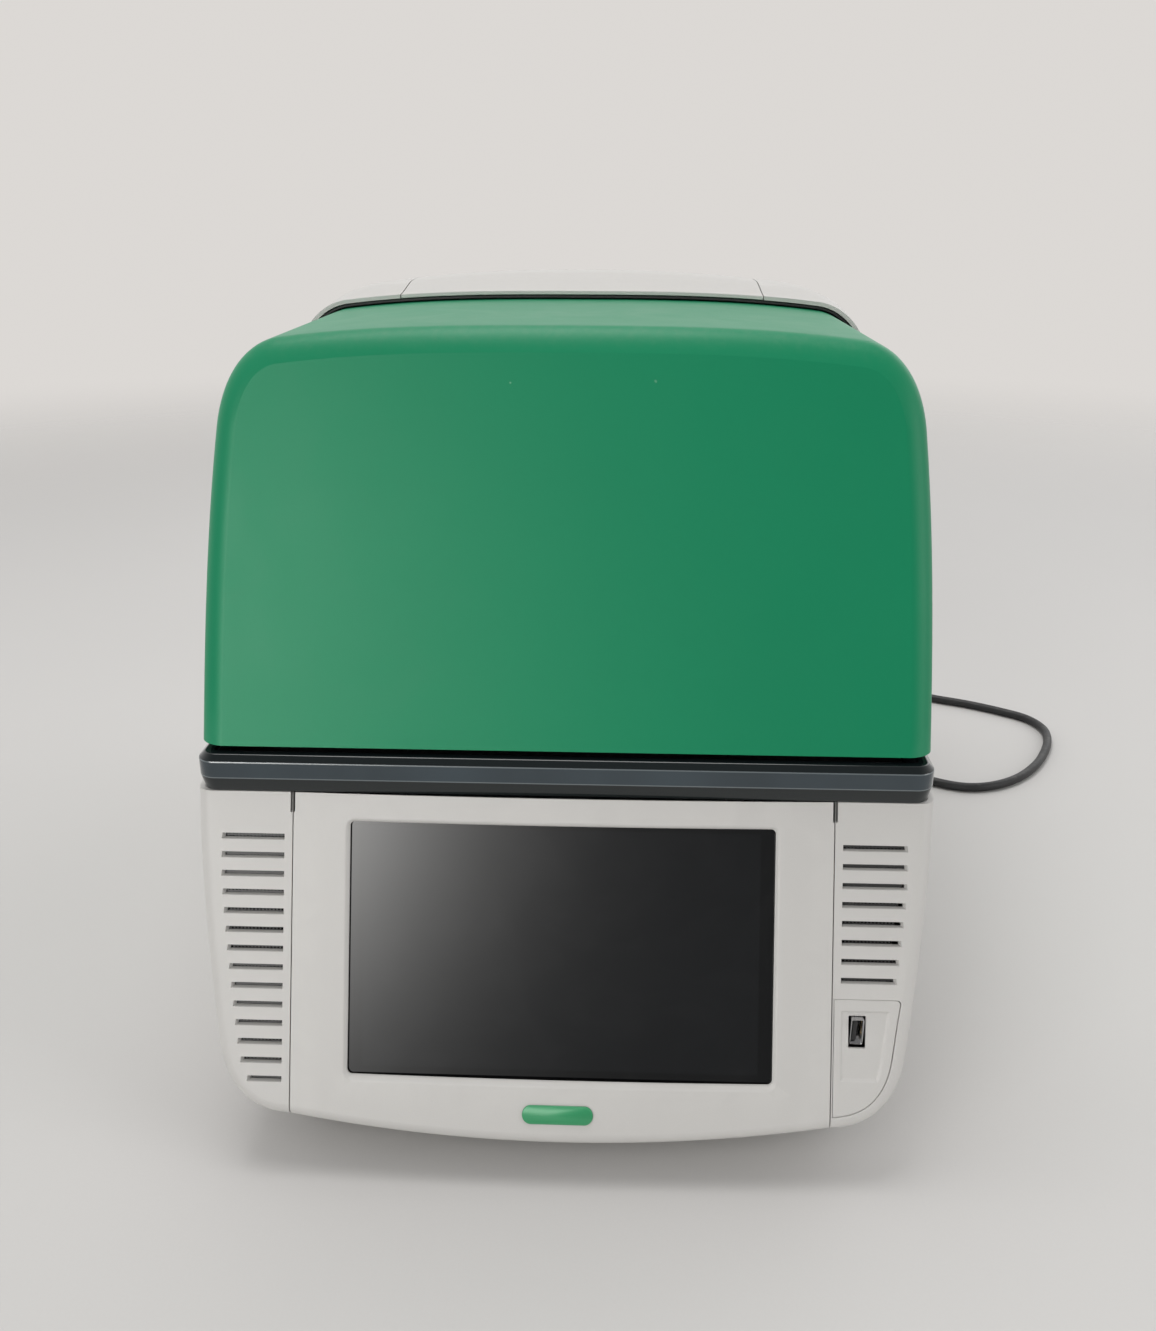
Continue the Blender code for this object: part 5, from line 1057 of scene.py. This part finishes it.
def makeBezel():
    outer = cover["bezelHalf"] - bezel["seam"]
    bm = bmesh.new()
    columns = [[bm.verts.new(point) for point in bezelColumn(outer * (2 * k / 30 - 1))] for k in range(31)]
    for near, far in zip(columns, columns[1:]):
        for j in range(len(near) - 1):
            bm.faces.new((near[j], far[j], far[j + 1], near[j + 1]))
    face = addPiece("frontBezel", bm, coverWhite)
    thick = face.modifiers.new("wall", "SOLIDIFY")
    thick.thickness = bezel["wall"]
    thick.offset = -1
    thick.use_even_offset = True
    settle(face)
    halfWide, low, high = bezel["window"]
    middle, halfTall = (low + high) / 2, (high - low) / 2
    rings = []
    roll = bezel["roll"]
    for depth, grow in (
        (-0.004, roll * 1.25), (0.0, roll), (0.0003, roll * 0.62), (0.0008, roll * 0.28), (0.0015, 0.0),
        (0.012, 0.0),
    ):
        loop = roundedRect(halfWide + grow, halfTall + grow, bezel["corner"] + grow, 8, 16)
        rings.append([(x, faceY(middle + z) + bow(x) + depth, middle + z) for x, z in loop])
    carve(face, loft(*rings))
    notches = bmesh.new()
    for side in (-1, 1):
        x = side * (outer + 0.001)
        leaning(
            rectangle(min(x, x - side * 0.0016), max(x, x - side * 0.0016), cover["deck"] - 0.0085, 0.18),
            -0.01, 0.02, notches,
        )
    carve(face, notches)
    roundEdges(face, 0.00045, 3, 26)
    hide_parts("front_bezel")

    radius = badge["tall"] / 2
    outline = [(x, badge["height"] + z) for x, z in roundedRect(badge["half"], radius, radius * 0.999, 14)]
    front = -cover["bow"] - 0.0003 - badge["thickness"]
    rings = [[(x, faceY(z) + front + badge["thickness"], z) for x, z in outline]]
    for inset, depth in ((0.0, 0.00030), (0.00012, 0.00010), (0.00035, 0.0)):
        rings.append([(x, faceY(z) + front + depth, z) for x, z in insetLoop(outline, inset)])
    plate = addPiece("badgePlate", loft(*rings), badgeGreen, creaseAngle=50)
    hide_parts("badge_plate")
    print("bezel made")


makeBezel()

# smoked band between base and lid

band = {
    "low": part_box("deck_band")[0].z, "high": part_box("deck_band")[1].z, "chamfer": 0.0028, "foot": 0.0068,
    "footInset": 0.0018,
    "step": 0.0026, "flareEnd": 0.0, "round": 0.0085, "depth": 0.007,
}
band["half"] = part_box("deck_band")[1].x - band["step"]
band["front"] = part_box("deck_band")[0].y


def planOutline(half, front, rear, radius, steps=14, flare=0.0):
    rearHalf = half + flare
    middle = [
        (
            half + flare * (0.5 - 0.5 * cos(pi * k / 8)),
            front + radius + (band["flareEnd"] - front - radius) * k / 8,
        )
        for k in range(1, 9)
    ]
    points = [(-rearHalf, rear)] + ([(-x, y) for x, y in reversed(middle)] if flare else [])
    for k in range(steps + 1):
        angle = pi + (pi / 2) * k / steps
        points.append((-half + radius + radius * cos(angle), front + radius + radius * sin(angle)))
    for k in range(steps + 1):
        angle = 1.5 * pi + (pi / 2) * k / steps
        points.append((half - radius + radius * cos(angle), front + radius + radius * sin(angle)))
    return points + (middle if flare else []) + [(rearHalf, rear)]


def makeBand():
    rings = []
    for z, inset in (
        (band["low"], band["footInset"]), (band["low"] + band["foot"], 0.0),
        (band["high"] - band["chamfer"], 0.0), (band["high"], band["chamfer"]),
    ):
        outline = planOutline(
            band["half"] - inset, band["front"] + inset, cover["rear"], band["round"] - inset,
            flare=band["step"],
        )
        rings.append([(x, y, z) for x, y in outline])
    strip = addPiece("deckBand", loft(*rings), smokeBand)
    inner = planOutline(
        band["half"] - band["depth"], band["front"] + band["depth"], cover["rear"] - band["depth"],
        0.0015, 6,
    )
    carve(
        strip,
        loft(
            [(x, y, band["low"] - 0.01) for x, y in inner],
            [(x, y, band["high"] + 0.01) for x, y in inner],
        ),
    )
    roundEdges(strip, 0.00035, 2, 16)
    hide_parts("deck_band")
    print("band made")


makeBand()

# lid cover

lid = {
    "half": 0.1632, "low": lidLow.z, "crown": lidHigh.z, "rear": lidHigh.y, "proud": 0.0045,
    "round": 0.0105, "taper": 0.0040,
    "shoulder": 0.044, "roofHalf": 0.132, "roofSag": 0.0055, "creaseTop": 17.0, "creaseSide": 9.0,
    "pull": 0.56,
}


def lidHalf(extra=0.0, low=None):
    low = lid["low"] if low is None else low
    bottom = (lid["half"], low)
    shoulder = (lid["half"] - lid["taper"], lid["crown"] - lid["shoulder"])
    roof = (lid["roofHalf"], lid["crown"] - lid["roofSag"])
    half = [bottom] + bezier(
        bottom, (lid["half"] + 0.0003, low + 0.052), (lid["half"] - 0.0004, shoulder[1] - 0.040),
        shoulder, 10,
    )
    half += bezier(
        shoulder, (shoulder[0] - 0.0015, shoulder[1] + 0.019), (roof[0] + 0.017, roof[1] - 0.003), roof,
        20,
    )
    half += [
        (lid["roofHalf"] * k / 14, lid["crown"] - lid["roofSag"] * (k / 14) ** 3)
        for k in range(13, -1, -1)
    ]
    return movedIn(half, -extra)


def lidRing(half, insets, depths, low):
    moved = []
    for i, (point, normal) in enumerate(zip(half, inwardNormals(half))):
        z = point[1] + normal.y * insets[i] if i else low
        moved.append((point[0] + normal.x * insets[i], z, depths[i]))
    ring = moved + [(-x, z, d) for x, z, d in reversed(moved) if abs(x) > 1e-9]
    return [(x, faceY(z) - lid["proud"] + d, z) for x, z, d in ring]


def makeLid():
    half = lidHalf()
    rings = []
    # the rounding starts with a slight crease, strongest along the top edge and softest at the sides
    tilts = []
    for x, z in half:
        share = min(1.0, max(0.0, (z - (lid["crown"] - 0.040)) / 0.030))
        tilts.append(radians(lid["creaseSide"] + (lid["creaseTop"] - lid["creaseSide"]) * share))
    for extra in (0.0030, 0.0008):
        rings.append(lidRing(half, [lid["round"] + extra] * len(half), [0.0] * len(half), lid["low"]))
    curves, pull = [], lid["round"] * lid["pull"]
    for tilt in tilts:
        start, end = (lid["round"], 0.0), (0.0, lid["round"])
        leave, arrive = (lid["round"] - pull * cos(tilt), pull * sin(tilt)), (0.0, lid["round"] - pull)
        curves.append([start] + bezier(start, leave, arrive, end, 10))
    for step in zip(*curves):
        rings.append(
            lidRing(half, [inset for inset, depth in step], [depth for inset, depth in step], lid["low"])
        )
    frontRing, rearRing = rings[-1], [(x, lid["rear"], z) for x, z in bothSides(half)]
    for share in (0.04, 0.3, 0.65):
        rings.append(
            [tuple(a[i] + (b[i] - a[i]) * share for i in range(3)) for a, b in zip(frontRing, rearRing)]
        )
    rings.append(rearRing)
    shell = addPiece("lidCover", loft(*rings), lidGreen, "lid")
    wall, below = cover["wall"], lid["low"] - 0.02
    inner = []
    for k in range(5):
        angle = radians(90) * k / 4
        inset = wall + (lid["round"] - wall) * (1 - sin(angle))
        depth = wall + (lid["round"] - wall) * (1 - cos(angle))
        moved = movedIn(lidHalf(0, below), inset)
        moved[0] = (moved[0][0], below)
        inner.append([(x, faceY(z) - lid["proud"] + depth, z) for x, z in bothSides(moved)])
    moved = movedIn(lidHalf(0, below), wall)
    moved[0] = (moved[0][0], below)
    inner.append([(x, lid["rear"] + 0.02, z) for x, z in bothSides(moved)])
    carve(shell, loft(*inner))
    shell.data.shade_smooth()
    shell.data.set_sharp_from_angle(angle=radians(11.5))
    flatten = shell.modifiers.new("flatten", "WEIGHTED_NORMAL")
    flatten.keep_sharp = True
    settle(shell)
    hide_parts("lid_cover")
    print("lid made")


makeLid()

# rear hood, its centre panel and the lip seal

hood = {
    "half": hoodHigh.x, "low": hoodLow.z, "crown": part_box("hood_centre_panel")[1].z + 0.0007,
    "start": 0.015, "flare": 0.042, "round": 0.012,
    "wall": 0.0022, "roofHalf": 0.129, "roofSag": 0.009, "crestEnd": 0.080, "crestDrop": 0.0007,
    "rearDrop": 0.0155,
    "edgeGap": 0.0026, "panelHalf": 0.1015, "panelEnd": 0.040, "panelFoot": 0.010, "seam": 0.0005,
}


def hoodHalf(extra=0.0, low=None, drop=0.0):
    low = hood["low"] if low is None else low
    crown, sag, half = hood["crown"] - drop, hood["roofSag"] - drop / 2, hood["half"]
    bottom, shoulder, roof = (half, low), (half, lid["crown"] - lid["shoulder"] + 0.004), (
        hood["roofHalf"], crown - sag
    )
    made = [bottom] + bezier(bottom, (half, low + 0.045), (half, shoulder[1] - 0.045), shoulder, 10)
    made += bezier(shoulder, (half, shoulder[1] + 0.022), (roof[0] + 0.023, roof[1] - 0.006), roof, 20)
    made += [(hood["roofHalf"] * k / 14, crown - sag * (k / 14) ** 2.3) for k in range(13, -1, -1)]
    return movedIn(made, -extra)


def hoodFront(extra=0.0, low=None):
    low = hood["low"] if low is None else low
    made = []
    for i, (x, z) in enumerate(lidHalf(hood["edgeGap"] + hood["wall"], low)):
        share = min(max(i - 10, 0) / 8, 1.0)  # the flat side eases into the lid's curve above its shoulder
        made.append((hood["half"] + (min(x, hood["half"]) - hood["half"]) * smooth(share), z))
    return movedIn(made, -extra)


def section(half, y):
    return [(x, y, z) for x, z in bothSides(half)]


def hoodRings(inner):
    shrink = hood["wall"] if inner else 0.0
    low = hood["low"] - 0.02 if inner else hood["low"]
    front, full = hoodFront(-shrink, low), hoodHalf(-shrink, low, hood["crestDrop"])
    rings = [section(front, hood["start"] - 0.005)] if inner else []
    for k in range(9):
        share = k / 8
        ease = 0.5 * share + 0.5 * smooth(share)
        half = [(a[0] + (b[0] - a[0]) * ease, a[1] + (b[1] - a[1]) * ease) for a, b in zip(front, full)]
        rings.append(section(half, hood["start"] + hood["flare"] * share))
    rearStart = cover["rear"] - hood["round"]
    rings.append(section(hoodHalf(-shrink, low, hood["crestDrop"]), hood["crestEnd"]))
    for k in range(1, 9):
        share = k / 8
        drop = hood["crestDrop"] + (hood["rearDrop"] - hood["crestDrop"]) * share**1.12
        rings.append(
            section(
                hoodHalf(-shrink, low, drop), hood["crestEnd"] + (rearStart - hood["crestEnd"]) * share
            )
        )
    reach = hood["round"] - shrink
    for k in range(7, -1, -1):
        angle = radians(90) * k / 8
        moved = movedIn(hoodHalf(0, low, hood["rearDrop"]), shrink + reach * (1 - sin(angle)))
        moved[0] = (moved[0][0], low)
        rings.append(section(moved, rearStart + reach * cos(angle)))
    return rings


def makeHood():
    edge, foot, end = hood["panelHalf"], lid["crown"] - hood["panelFoot"], cover["rear"] - hood["panelEnd"]
    shell = addPiece("hoodShell", loft(*hoodRings(False)), hoodWhite)
    carve(shell, loft(*hoodRings(True)))
    panel = shell.copy()
    panel.data = shell.data.copy()
    panel.name = "hoodCentrePanel"
    bpy.context.scene.collection.objects.link(panel)
    carve(shell, boxes(((-edge, hood["start"] - 0.02, foot), (edge, end, 0.5))))
    seam = hood["seam"]
    carve(
        panel, boxes(((-edge + seam, hood["start"] - 0.02, foot + seam), (edge - seam, end - seam, 0.5))),
        "INTERSECT",
    )
    for piece, node in ((shell, "hood_shell"), (panel, "hood_centre_panel")):
        roundEdges(piece, 0.0004, 2, 30)
        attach(piece, "housing")
        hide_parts(node)

    start = lid["crown"] - lid["shoulder"] - 0.001
    inner = [p for p in lidHalf(0.0007) if p[1] > start]
    outer = [p for p in hoodFront(-hood["wall"] - 0.0003) if p[1] > start]
    count = min(len(inner), len(outer))
    inner, outer = inner[-count:], outer[-count:]
    ring = outer + [(-x, z) for x, z in reversed(outer[:-1])] + (
        inner + [(-x, z) for x, z in reversed(inner[:-1])]
    )[::-1]
    low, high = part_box("hood_seal")
    lip = addPiece("hoodSeal", prism(ring, low.y, high.y), sealRubber)
    roundEdges(lip, 0.0003, 2, 40)
    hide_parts("hood_seal")
    print("hood made")


makeHood()

# inner and rear parts: the same forms with softened edges and their own finishes

softened = (
    ("deckPlate", "deck_plate", darkPlastic, "housing", 0.0006),
    ("blockFrame", "block_frame", darkPlastic, "housing", 0.0008),
    ("screwBearing", "screw_bearing", darkPlastic, "housing", 0.0004),
    ("railLeft", "lid_rail_left", brightSteel, "housing", 0.0004),
    ("railRight", "lid_rail_right", brightSteel, "housing", 0.0004),
    ("lidMotor", "lid_motor", blackPlastic, "housing", 0.0010),
    ("chassisLeft", "chassis_wall_left", panelMetal, "housing", 0.0004),
    ("chassisRight", "chassis_wall_right", panelMetal, "housing", 0.0004),
    ("basePan", "base_pan", panelMetal, "housing", 0.0004),
    ("rearPanel", "rear_panel", panelMetal, "housing", 0.0003),
    ("heatSink", "heat_sink", aluminium, "housing", 0.0003),
    ("lidTray", "lid_tray", darkPlastic, "lid", 0.0005),
    ("runnerLeft", "lid_runner_left", brightSteel, "lid", 0.0005),
    ("runnerRight", "lid_runner_right", brightSteel, "lid", 0.0005),
    ("driveNut", "drive_nut", brass, "lid", 0.0005),
    ("pressActuator", "press_actuator", blackPlastic, "lid", 0.0010),
    ("heatedPlate", "heated_plate", aluminium, "press", 0.0006),
    ("gantryBeam", "gantry_beam", aluminium, "gantry", 0.0006),
    ("opticsHead", "optics_head", blackPlastic, "head", 0.0010),
    ("fanFrameLeft", "fan_frame_left", blackPlastic, "housing", 0.0005),
    ("fanFrameRight", "fan_frame_right", blackPlastic, "housing", 0.0005),
    ("fanRotorLeft", "fan_rotor_left", blackPlastic, "fan_left", 0.0003),
    ("fanRotorRight", "fan_rotor_right", blackPlastic, "fan_right", 0.0003),
    ("powerInlet", "power_inlet", blackPlastic, "housing", 0.0007),
    ("powerRocker", "power_rocker", blackPlastic, "rocker", 0.0004),
    ("fuseDrawer", "fuse_drawer", darkPlastic, "drawer", 0.0005),
    ("networkSocket", "network_socket", brightSteel, "housing", 0.0003),
)


def makeSoftened():
    for name, node, material, body, width in softened:
        bm = bmesh.new()
        bm.from_mesh(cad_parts[node].data)
        bmesh.ops.remove_doubles(bm, verts=bm.verts, dist=2e-6)
        piece = addPiece(name, bm, material, body)
        roundEdges(piece, width, 2, 30)
        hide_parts(node)
    kept = {
        "display_glass": displayGlass, "display_module": blackPlastic, "vent_mesh_left": ventMesh,
        "vent_mesh_right": ventMesh,
        "thermoelectric_plate": ceramicWhite, "power_supply": panelMetal, "main_board": circuitBoard,
        "gantry_rod_left": brightSteel, "gantry_rod_right": brightSteel,
    }
    for node, material in kept.items():
        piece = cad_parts[node]
        for place in piece.material_slots:
            place.link = "OBJECT"
            place.material = material
    print("inner parts made")


makeSoftened()

# sample block with round conical wells, threaded screw and small fittings

wells = {
    "pitch": 0.009, "columns": 12, "rows": 8, "top": 0.0030, "end": 0.0015, "depth": 0.0144, "sides": 16,
    "rim": 0.0036, "rimTall": 0.0003,
}


def makeBlock():
    low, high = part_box("sample_block")
    middle = (low + high) / 2
    bm = bmesh.new()
    pitch, sides, top = wells["pitch"], wells["sides"], high.z - wells["rimTall"]
    spanX, spanY = wells["columns"] * pitch / 2, wells["rows"] * pitch / 2
    for column in range(wells["columns"]):
        for row in range(wells["rows"]):
            x = middle.x + (column + 0.5) * pitch - spanX
            y = middle.y + (row + 0.5) * pitch - spanY
            rows = []
            for k in range(sides):
                angle = 2 * pi * k / sides
                cx, cy = cos(angle), sin(angle)
                grow = pitch / 2 / max(abs(cx), abs(cy))
                steps = (
                    (grow, top), (wells["rim"], top), (wells["rim"] - 0.0001, high.z),
                    (wells["top"] + 0.0001, high.z), (wells["top"], high.z - 0.0002),
                    (wells["end"], high.z - wells["depth"]), (0.0004, high.z - wells["depth"] - 0.0004),
                )
                rows.append([bm.verts.new((x + radius * cx, y + radius * cy, z)) for radius, z in steps])
            for k in range(sides):
                near, far = rows[k], rows[(k + 1) % sides]
                for i in range(len(near) - 1):
                    bm.faces.new((near[i], far[i], far[i + 1], near[i + 1]))
            bm.faces.new([line[-1] for line in rows])
    rim = [(-spanX, -spanY), (spanX, -spanY), (spanX, spanY), (-spanX, spanY)]
    halfX, halfY = (high.x - low.x) / 2, (high.y - low.y) / 2
    edge = [(-halfX, -halfY), (halfX, -halfY), (halfX, halfY), (-halfX, halfY)]
    loops = []
    for points, z in ((rim, top), (edge, top), (edge, low.z)):
        loops.append([bm.verts.new((middle.x + x, middle.y + y, z)) for x, y in points])
    for near, far in zip(loops, loops[1:]):
        for i in range(4):
            j = (i + 1) % 4
            bm.faces.new((near[i], near[j], far[j], far[i]))
    bm.faces.new(loops[-1])
    block = addPiece("sampleBlock", bm, aluminium, creaseAngle=35)
    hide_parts("sample_block")


def makeScrew():
    low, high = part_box("drive_screw")
    x, z, radius = (low.x + high.x) / 2, (low.z + high.z) / 2, (high.z - low.z) / 2
    bm = bmesh.new()
    rows, sides, step, pitch, screwLead = [], 20, 0.0005, 0.0025, 0.010
    count = round((high.y - low.y) / step)
    for k in range(count + 1):
        y = low.y + step * k
        ring = []
        for i in range(sides):
            angle = 2 * pi * i / sides
            phase = (y / pitch - angle / (2 * pi) * screwLead / pitch) % 1.0
            groove = min(1.0, max(0.0, 2.2 * abs(phase - 0.5) - 0.15)) * 0.0005
            plain = y - low.y < 0.010 or high.y - y < 0.004
            r = radius - (0.0 if plain else groove)
            ring.append(bm.verts.new((x + r * cos(angle), y, z + r * sin(angle))))
        rows.append(ring)
    skin(bm, rows)
    screw = addPiece("driveScrew", bm, brightSteel, "screw", creaseAngle=50)
    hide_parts("drive_screw")


fixings = {  # rear panel: screw heads as (radius, height), their places, and the network socket's details
    "fanReach": 0.0358,
    "fanHead": (0.0030, 0.0018),
    "panelHead": (0.0028, 0.0016),
    "panelPlaces": (
        (-0.148, 0.150), (0.148, 0.150), (-0.148, 0.085), (0.148, 0.085),
        (-0.095, 0.026), (0.095, 0.026), (0, 0.026), (0, 0.154),
    ),
    "contactPitch": 0.00102,
    "lightReach": 0.0066,
}


def panHead(place, radius, tall, bm):  # domed head with a round socket, facing the rear
    shape = ((1, 0), (1, 0.45), (0.93, 0.8), (0.78, 1), (0.46, 1), (0.46, 0.45), (0.05, 0.42))
    return lathe([(radius * out, tall * up) for out, up in shape], place, (0, 1, 0), 24, bm)


def rearCentre(node):  # middle of a node's rear face
    middle = middleOf(node)
    return middle.x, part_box(node)[1].y, middle.z


def makeRearFittings():
    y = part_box("rear_panel")[1].y
    heads = bmesh.new()
    for side in ("left", "right"):
        middle = middleOf("fan_frame_" + side)
        for dx in (-fixings["fanReach"], fixings["fanReach"]):
            for dz in (-fixings["fanReach"], fixings["fanReach"]):
                panHead((middle.x + dx, y, middle.z + dz), *fixings["fanHead"], heads)
    for x, z in fixings["panelPlaces"]:
        panHead((x, y, z), *fixings["panelHead"], heads)
    addPiece("rearScrews", heads, brightSteel, creaseAngle=40)

    x, back, z = rearCentre("network_socket")
    pins, lights = bmesh.new(), bmesh.new()
    for k in range(8):
        pinX = x + (k - 3.5) * fixings["contactPitch"]
        boxes(
            ((pinX - 0.00022, back - 0.0090, z + 0.0026), (pinX + 0.00022, back - 0.0030, z + 0.0034)),
            bm=pins,
        )
    addPiece("networkContacts", pins, gold)
    for side in (-1, 1):
        lightX = x + side * fixings["lightReach"]
        boxes(
            ((lightX - 0.0010, back - 0.0004, z + 0.0044), (lightX + 0.0010, back + 0.0001, z + 0.0058)),
            bm=lights,
        )
    addPiece("networkLights", lights, badgeGreen)

    x, back, z = rearCentre("power_rocker")
    bar = boxes(((x - 0.0004, back - 0.0042, z - 0.0047), (x + 0.0004, back - 0.0014, z - 0.0022)))
    addPiece("rockerBar", bar, ceramicWhite, "rocker")

    x, back, z = rearCentre("fuse_drawer")
    tab = boxes(((x - 0.0030, back - 0.0004, z - 0.0010), (x + 0.0030, back + 0.0006, z + 0.0010)))
    piece = addPiece("drawerTab", tab, darkPlastic, "drawer")
    roundEdges(piece, 0.0002, 2)


inside = {
    "caps": 6,
    "capProfile": ((0.0032, 0), (0.0032, 0.0008), (0.0022, 0.0008), (0.0018, 0.0002), (0.0002, 0.0002)),
    "boardParts": (  # each from the board's corner: along, up, length, height, thickness
        (0.020, 0.060, 0.022, 0.020, 0.003),
        (0.055, 0.030, 0.030, 0.012, 0.008),
        (0.085, 0.050, 0.016, 0.016, 0.0022),
        (0.110, 0.025, 0.014, 0.040, 0.009),
        (0.130, 0.065, 0.010, 0.014, 0.012),
    ),
}


def makeInsideFittings():  # lens caps on the optics head, parts on the circuit board
    low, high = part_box("optics_head")
    bm = bmesh.new()
    for k in range(inside["caps"]):
        x = low.x + (high.x - low.x) * (k + 0.5) / inside["caps"]
        lathe(inside["capProfile"], (x, (low.y + high.y) / 2, high.z), (0, 0, 1), 20, bm)
    addPiece("opticsCaps", bm, brightSteel, "head")
    low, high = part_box("main_board")
    bm = bmesh.new()
    side = -1 if abs(low.x) > abs(high.x) else 1
    face = high.x if side < 0 else low.x
    for along, up, long, tall, out in inside["boardParts"]:
        near, far = sorted((face, face - side * out))
        y, z = low.y + along, low.z + up
        boxes(((near, y - long / 2, z - tall / 2), (far, y + long / 2, z + tall / 2)), bm=bm)
    chips = addPiece("boardParts", bm, blackPlastic)
    roundEdges(chips, 0.0004, 1)
    print("fittings made")


makeBlock()
makeScrew()
makeRearFittings()
makeInsideFittings()

# floor, sky and lights

studio = {
    "floorColour": (0.63, 0.62, 0.61),
    "fade": (1.0, 2.6),
    "far": (0.715, 0.690, 0.665),
    "back": (0.92, 0.91, 0.90),
    "front": (0.185, 0.187, 0.188),
    "frontEnds": (-0.75, 0.35),
    "overhead": 0.55,
    "glow": (1.0, 0.985, 0.96),
    "glowPower": 5.2,
    "glowMirrored": 3.0,
    "glowWidth": 46.0,
    "glowFrom": (-0.42, -0.88, 0.27),
}
lamps = {  # place, aim, width, power, colour
    "overhead": ((-0.20, 0.30, 2.10), (0, 0, 0.15), 1.1, 17.5, (1.0, 0.995, 0.985)),
    "key": ((-1.10, -1.70, 1.25), (0, -0.1, 0.18), 1.1, 10.0, (1.0, 0.99, 0.975)),
    "sideFill": ((1.75, -0.85, 0.80), (0.1, -0.1, 0.12), 1.0, 8.0, (1.0, 0.99, 0.975)),
    "backFill": ((1.4, 1.5, 1.3), (0, 0, 0.2), 1.4, 6.0, (0.97, 0.985, 1.0)),
}


def makeStudio():
    bm = bmesh.new()
    bmesh.ops.create_grid(bm, x_segments=8, y_segments=8, size=14)
    floor = addPiece("floor", bm, None)
    material, tree, shader = startMaterial("paleFloor")
    where = objectPlace(tree)
    cloud = noise(tree, where, 3.0, 4.0)
    grain = noise(tree, where, 700.0)
    tone = plus(tree, times(tree, cloud, 0.6), times(tree, grain, 0.4))
    light = studio["floorColour"]
    tree.links.new(
        blendColour(tree, tone, [c * 0.97 for c in light], [c * 1.03 for c in light]),
        shader.inputs["Base Color"],
    )
    tree.links.new(spread(tree, cloud, 0.3, 0.7, 0.80, 0.92), shader.inputs["Roughness"])
    shader.inputs["Specular IOR Level"].default_value = 0.08
    away = addNode(tree, "ShaderNodeVectorMath", [(0, where)], operation="LENGTH").outputs["Value"]
    near, far = studio["fade"]
    tree.links.new(spread(tree, away, far, near, shape="SMOOTHSTEP"), shader.inputs["Alpha"])
    floor.data.materials.append(material)

    world = bpy.data.worlds.new("studio")
    bpy.context.scene.world = world
    world.use_nodes = True
    tree = world.node_tree
    ground = tree.nodes["Background"]
    heading = addNode(tree, "ShaderNodeTexCoord").outputs["Generated"]
    parts = axesOf(tree, heading)
    backShare = spread(tree, parts[1], *studio["frontEnds"], shape="SMOOTHSTEP")
    base = blendColour(tree, backShare, studio["front"], studio["back"])
    above = spread(tree, parts[2], 0.35, 1.0, 1.0, studio["overhead"])
    base = blendColour(tree, above, (0, 0, 0), base)
    path = addNode(tree, "ShaderNodeLightPath")
    key = Vector(studio["glowFrom"]).normalized()
    facing = vectorMaths(tree, "DOT_PRODUCT", heading, key, "Value")
    lobe = maths(tree, "POWER", maths(tree, "MAXIMUM", facing, 0.0), studio["glowWidth"])
    power, mirrored = studio["glowPower"], studio["glowPower"] * studio["glowMirrored"]
    lobe = times(tree, lobe, spread(tree, path.outputs["Is Glossy Ray"], 0.0, 1.0, power, mirrored))
    glow = addNode(tree, "ShaderNodeVectorMath", [(0, studio["glow"])], operation="SCALE")
    tree.links.new(lobe, glow.inputs["Scale"])
    total = vectorMaths(tree, "ADD", base, glow.outputs[0])
    tree.links.new(blendColour(tree, path.outputs["Is Camera Ray"], total, studio["far"]), ground.inputs[0])

    for name, (place, aim, size, power, colour) in lamps.items():
        lamp = bpy.data.lights.new(name, "AREA")
        lamp.size, lamp.energy, lamp.color = size, power, colour
        holder = bpy.data.objects.new(name, lamp)
        bpy.context.scene.collection.objects.link(holder)
        holder.location = place
        holder.rotation_euler = (Vector(aim) - Vector(place)).to_track_quat("-Z", "Y").to_euler()
    bpy.context.scene.view_settings.view_transform = "Standard"
    print("studio lit")


makeStudio()
